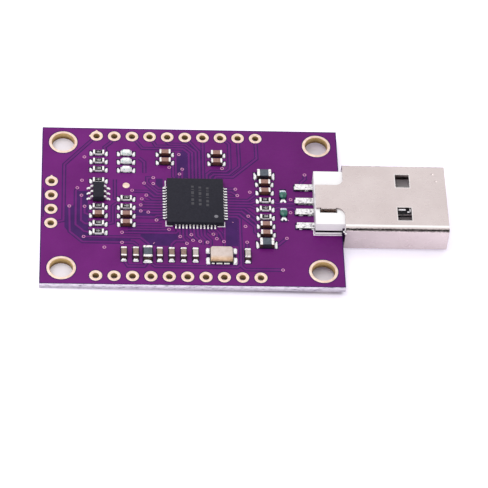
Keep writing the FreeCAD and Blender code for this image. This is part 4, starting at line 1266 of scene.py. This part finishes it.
# Dashes of bare tin in front of the crystal, from and to along X
CRYSTAL_DASHES = ((2.66, 3.05), (3.28, 4.12), (4.35, 5.15))


def make_mounds():
    """Solder at the ends of the small parts, at the memory chip's leads and round the crystal."""
    mesh = bmesh.new()
    seed = 0
    for part in SMALL_PARTS.values():
        for way in (-1, 1):
            seed += 1
            foot = part.at(way * (part.length / 2 + MOUND_START), 0, 0)
            shape = part.long * way, part.width * MOUND_WIDTH, SOLDER_REACH - MOUND_START, MOUND_SWELL, seed
            if part.kind == "surge_suppressor":
                for slant in (-0.6, 0.6):
                    add_mound(mesh, part.at(way * 0.5, 0, 0), (slant, way), 0.36, 0.72, MOUND_SWELL, seed)
            elif part.long.x:
                add_mound(mesh, foot, *shape, near=0.45, lean=0.22, climb=0.1)
            else:
                add_mound(mesh, foot, *shape, near=0.7, climb=0.2)
    for way, number in LEADS:
        seed += 1
        spot = MEMORY_MIDDLE.xy + flat(way * (MEMORY_HALF + 0.42), number * LEAD_PITCH)
        add_mound(mesh, (*spot, BOARD_TOP), (way, 0), LEAD_WIDTH, 0.45, 0.12, seed)
    for way, x in ((-1, CRYSTAL_LOW.x), (1, CRYSTAL_HIGH.x + 0.06)):
        for y, width in CRYSTAL_BEDS:
            seed += 1
            add_mound(mesh, (x, CRYSTAL_LOW.y + y, BOARD_TOP), (way, 0), width, 0.6, 0.22, seed)
    for start, end in CRYSTAL_DASHES:
        low = (start, CRYSTAL_LOW.y - 0.24, BOARD_TOP)
        add_block(mesh, low, (end, CRYSTAL_LOW.y, BOARD_TOP + 0.12), 0.03, material=1)
    finish_piece("solder_mounds", mesh, ["solder", "tinned_leads"], ["solder_fillets"])


# The plug

BED_WIDTH = 1.04
BED_HEIGHT = 0.40
BED_STEPS = 44
BED_ACROSS = 14


def make_contact_solder():
    """Crinkled beds of solder over the four contact tails, ragged at their left ends."""
    mesh = bmesh.new()
    for seed, node in enumerate(CONTACTS):
        low, high = extent(node)
        middle = (low.y + high.y) / 2
        rows = []
        for step in range(BED_STEPS + 1):
            far = step / BED_STEPS
            x = BED_LOW.x + (INSULATOR_LOW.x + 0.05 - BED_LOW.x) * far
            nose = math.sqrt(min(1.0, 0.25 + far * 4))
            half = BED_WIDTH / 2 * nose * (1 + 0.2 * wobble(x, middle, seed, 0.45))
            row = []
            for side in range(BED_ACROSS + 1):
                share = 2 * side / BED_ACROSS - 1
                y = middle + share * half + 0.13 * wobble(x, 0, seed, 0.7)
                crumple = 0.24 * wobble(x, y, seed, 0.38) + 0.12 * wobble(x, y, seed + 9, 0.17)
                height = dome(share) * min(1.0, 0.3 + far * 4) * (BED_HEIGHT + crumple)
                row.append(Vector((x, y, min(BOARD_TOP + height, BED_HIGH.z))))
            rows.append(row)
        add_sheet(mesh, rows)
    finish_piece("contact_solder_beds", mesh, ["crinkled_solder"], ["contact_solder"])


CURL_STEPS = 14
CURL_START = Vector((SHELL_BACK - 0.12, SHELL_LOW.y + 0.25, 3.5))
CURL_RUN = Vector((0, -0.4, -0.8))
CURL_HALF = 0.12


def make_shell_curl():
    """A sliver of the shell that is curled out at its front back corner, beside the insulator."""
    mesh = bmesh.new()
    rows = []
    for step in range(CURL_STEPS + 1):
        far = step / CURL_STEPS
        middle = CURL_START + CURL_RUN * far + Vector((0.16 * math.sin(9 * far), 0, 0))
        rows.append([middle + Vector((side * CURL_HALF, 0, 0)) for side in (-1, -0.5, 0, 0.5, 1)])
    add_sheet(mesh, rows)
    finish_piece("shell_curl", mesh, ["tinned_leads"])


SPRING_TOP = 3.27
SPRING_BACK = -1.5
SPRING_DEPTH = 1.2
# The edges with painted white highlights: from and to along X, from the window's left side, and along Y, from
# the spring's back edge
SPRING_EDGES = ((0.2, 1.2, -0.66, -0.44), (1.76, 1.9, -0.87, -0.33), (1.42, 1.73, -1.02, -0.87))


def make_spring():
    """The spring of the front window, dark with painted shade, and painted white highlights on its bent edge
    and its side.
    """
    mesh = bmesh.new()
    left, right = WINDOW_X - WINDOW_HALF[0], WINDOW_X + WINDOW_HALF[0]
    low = (left, SPRING_BACK - SPRING_DEPTH, SPRING_TOP - 0.1)
    # Dark plate with painted shade
    add_block(mesh, low, (right, SPRING_BACK, SPRING_TOP), 0.03, 1)
    # White bars as painted highlights
    for x0, x1, y0, y1 in SPRING_EDGES:
        low = (left + x0, SPRING_BACK + y0, SPRING_TOP - 0.05)
        add_block(mesh, low, (left + x1, SPRING_BACK + y1, SPRING_TOP + 0.13), 0.03, 1, 1)
    finish_piece("window_spring_painted_glints", mesh, ["resistor_black", "ceramic_white"])


SHOWN_AS_PACKED = {"circuit_board": "board", "usb_shell": "steel", "usb_insulator": "white_plastic"}
SHOWN_AS_PACKED.update(dict.fromkeys(CONTACTS, "contact_tin"))


def show_packed_nodes():
    """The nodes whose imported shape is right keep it, each with its finish."""
    for node, finish in SHOWN_AS_PACKED.items():
        materials = NODES[node].data.materials
        materials.clear()
        materials.append(FINISHES[finish].material)


# Camera, light and floor

CAMERA_AT = (-17.49, -239.63, 293.24)
CAMERA_TURN = (38.573, -3.494, -1.693)
FOCAL_LENGTH = 197.61
SENSOR_WIDTH = 36.0


def make_camera():
    lens = bpy.data.cameras.new("camera")
    lens.sensor_width = SENSOR_WIDTH
    lens.lens = FOCAL_LENGTH
    lens.clip_start = 0.01
    lens.clip_end = 20
    camera = add_object("camera", lens)
    camera.location = Vector(CAMERA_AT) * MM
    camera.rotation_euler = [math.radians(angle) for angle in CAMERA_TURN]
    bpy.context.scene.camera = camera


FLOOR_TONE = (0.90, 0.86, 0.94, 1.0)
FLOOR_GLOW = 0.40
GLOW_TONE = (0.90, 0.86, 1.0, 1.0)
UNDER_SHADE = (0.75, 1.0)
# Half the floor's side, in metres
FLOOR_HALF = 1.5


def make_floor():
    """A wide pale floor that touches the board's left end and the back end of the plug's shell.

    It glows a little, but only as seen by the camera or mirrored, so that it is white and keeps its shadows.
    Under the board the glow fades, most at the plug's end, where the board stands higher.
    """
    length = BOARD_HIGH.x - BOARD_LOW.x
    mesh = bmesh.new()
    bmesh.ops.create_grid(mesh, x_segments=1, y_segments=1, size=FLOOR_HALF)
    data = bpy.data.meshes.new("floor")
    mesh.to_mesh(data)
    mesh.free()
    floor = add_object("floor", data)
    floor.location = Vector((BOARD_LOW.x, 0, RING_LOW.z - 0.01)) * MM
    floor.rotation_euler = (0, math.atan2(RING_LOW.z - SHELL_LOW.z, SHELL_BACK - BOARD_LOW.x), 0)
    finish = Finish("floor_white", Roughness=0.6, Specular_IOR_Level=0.2, Base_Color=FLOOR_TONE,
                    Emission_Color=GLOW_TONE)
    seen = finish.rays("Camera") | finish.rays("Glossy") | finish.rays("Transmission")
    covered = abs(finish.y).step(BOARD_HIGH.y, BOARD_HIGH.y - 0.5)
    covered = covered * finish.x.between(0.2, 0.8, length - 0.6, length)
    shade = covered * finish.x.step(0.0, length, *UNDER_SHADE)
    finish.join(seen * (shade * -FLOOR_GLOW + FLOOR_GLOW), finish.shader.inputs["Emission Strength"])
    data.materials.append(finish.material)


WORLD_LEVEL = 0.70
WORLD_BACK = 0.36
WORLD_FRONT = 0.03
# Each lamp: name, sides and power, and where it stands, in metres
LAMPS = (("softbox", (0.5, 0.4), 1.0, (-0.20, 0.05, 0.55)), ("fill", (0.8, 0.12), 1.3, (0.0, -0.70, 0.16)))


def make_light():
    """A soft pale room, brighter behind the part, a large softbox overhead and a low wide one in front.

    A dark band high in front shows only in what the part mirrors, as the dark line along the plug's fold.
    """
    world = bpy.data.worlds.new("studio")
    world.use_nodes = True
    bpy.context.scene.world = world
    sky = Nodes(world.node_tree)
    back, height = sky.axes(sky.add("ShaderNodeTexCoord", {}, "Generated"))[1:]
    level = back.step(0.0, 0.6, 0.0, WORLD_BACK) + WORLD_LEVEL
    front = height.between(0.40, 0.52, 0.90, 0.98) * back.step(-0.12, -0.25)
    dark = front * sky.rays("Glossy") * (WORLD_LEVEL - WORLD_FRONT)
    ground = sky.tree.nodes["Background"].inputs
    sky.join(level - dark, ground["Strength"])
    sky.join((1.0, 1.0, 1.0, 1.0), ground["Color"])
    for name, sides, power, spot in LAMPS:
        lamp = bpy.data.lights.new(name, "AREA")
        lamp.shape = "RECTANGLE"
        lamp.size, lamp.size_y = sides
        lamp.energy = power
        light = add_object(name, lamp)
        light.location = spot
        light.visible_glossy = name != "fill"
        light.rotation_euler = (-light.location).to_track_quat("-Z", "Y").to_euler()


make_circuit()
make_vias()
make_ink()
make_header_pads()
make_mounting_rings()
make_test_pad()
make_main_chip()
make_main_chip_terminals()
make_memory_chip()
make_crystal()
make_small_parts()
make_end_caps()
make_mounds()
make_contact_solder()
make_shell_curl()
make_spring()
show_packed_nodes()
make_camera()
make_floor()
make_light()
bpy.context.scene.view_settings.view_transform = "Standard"
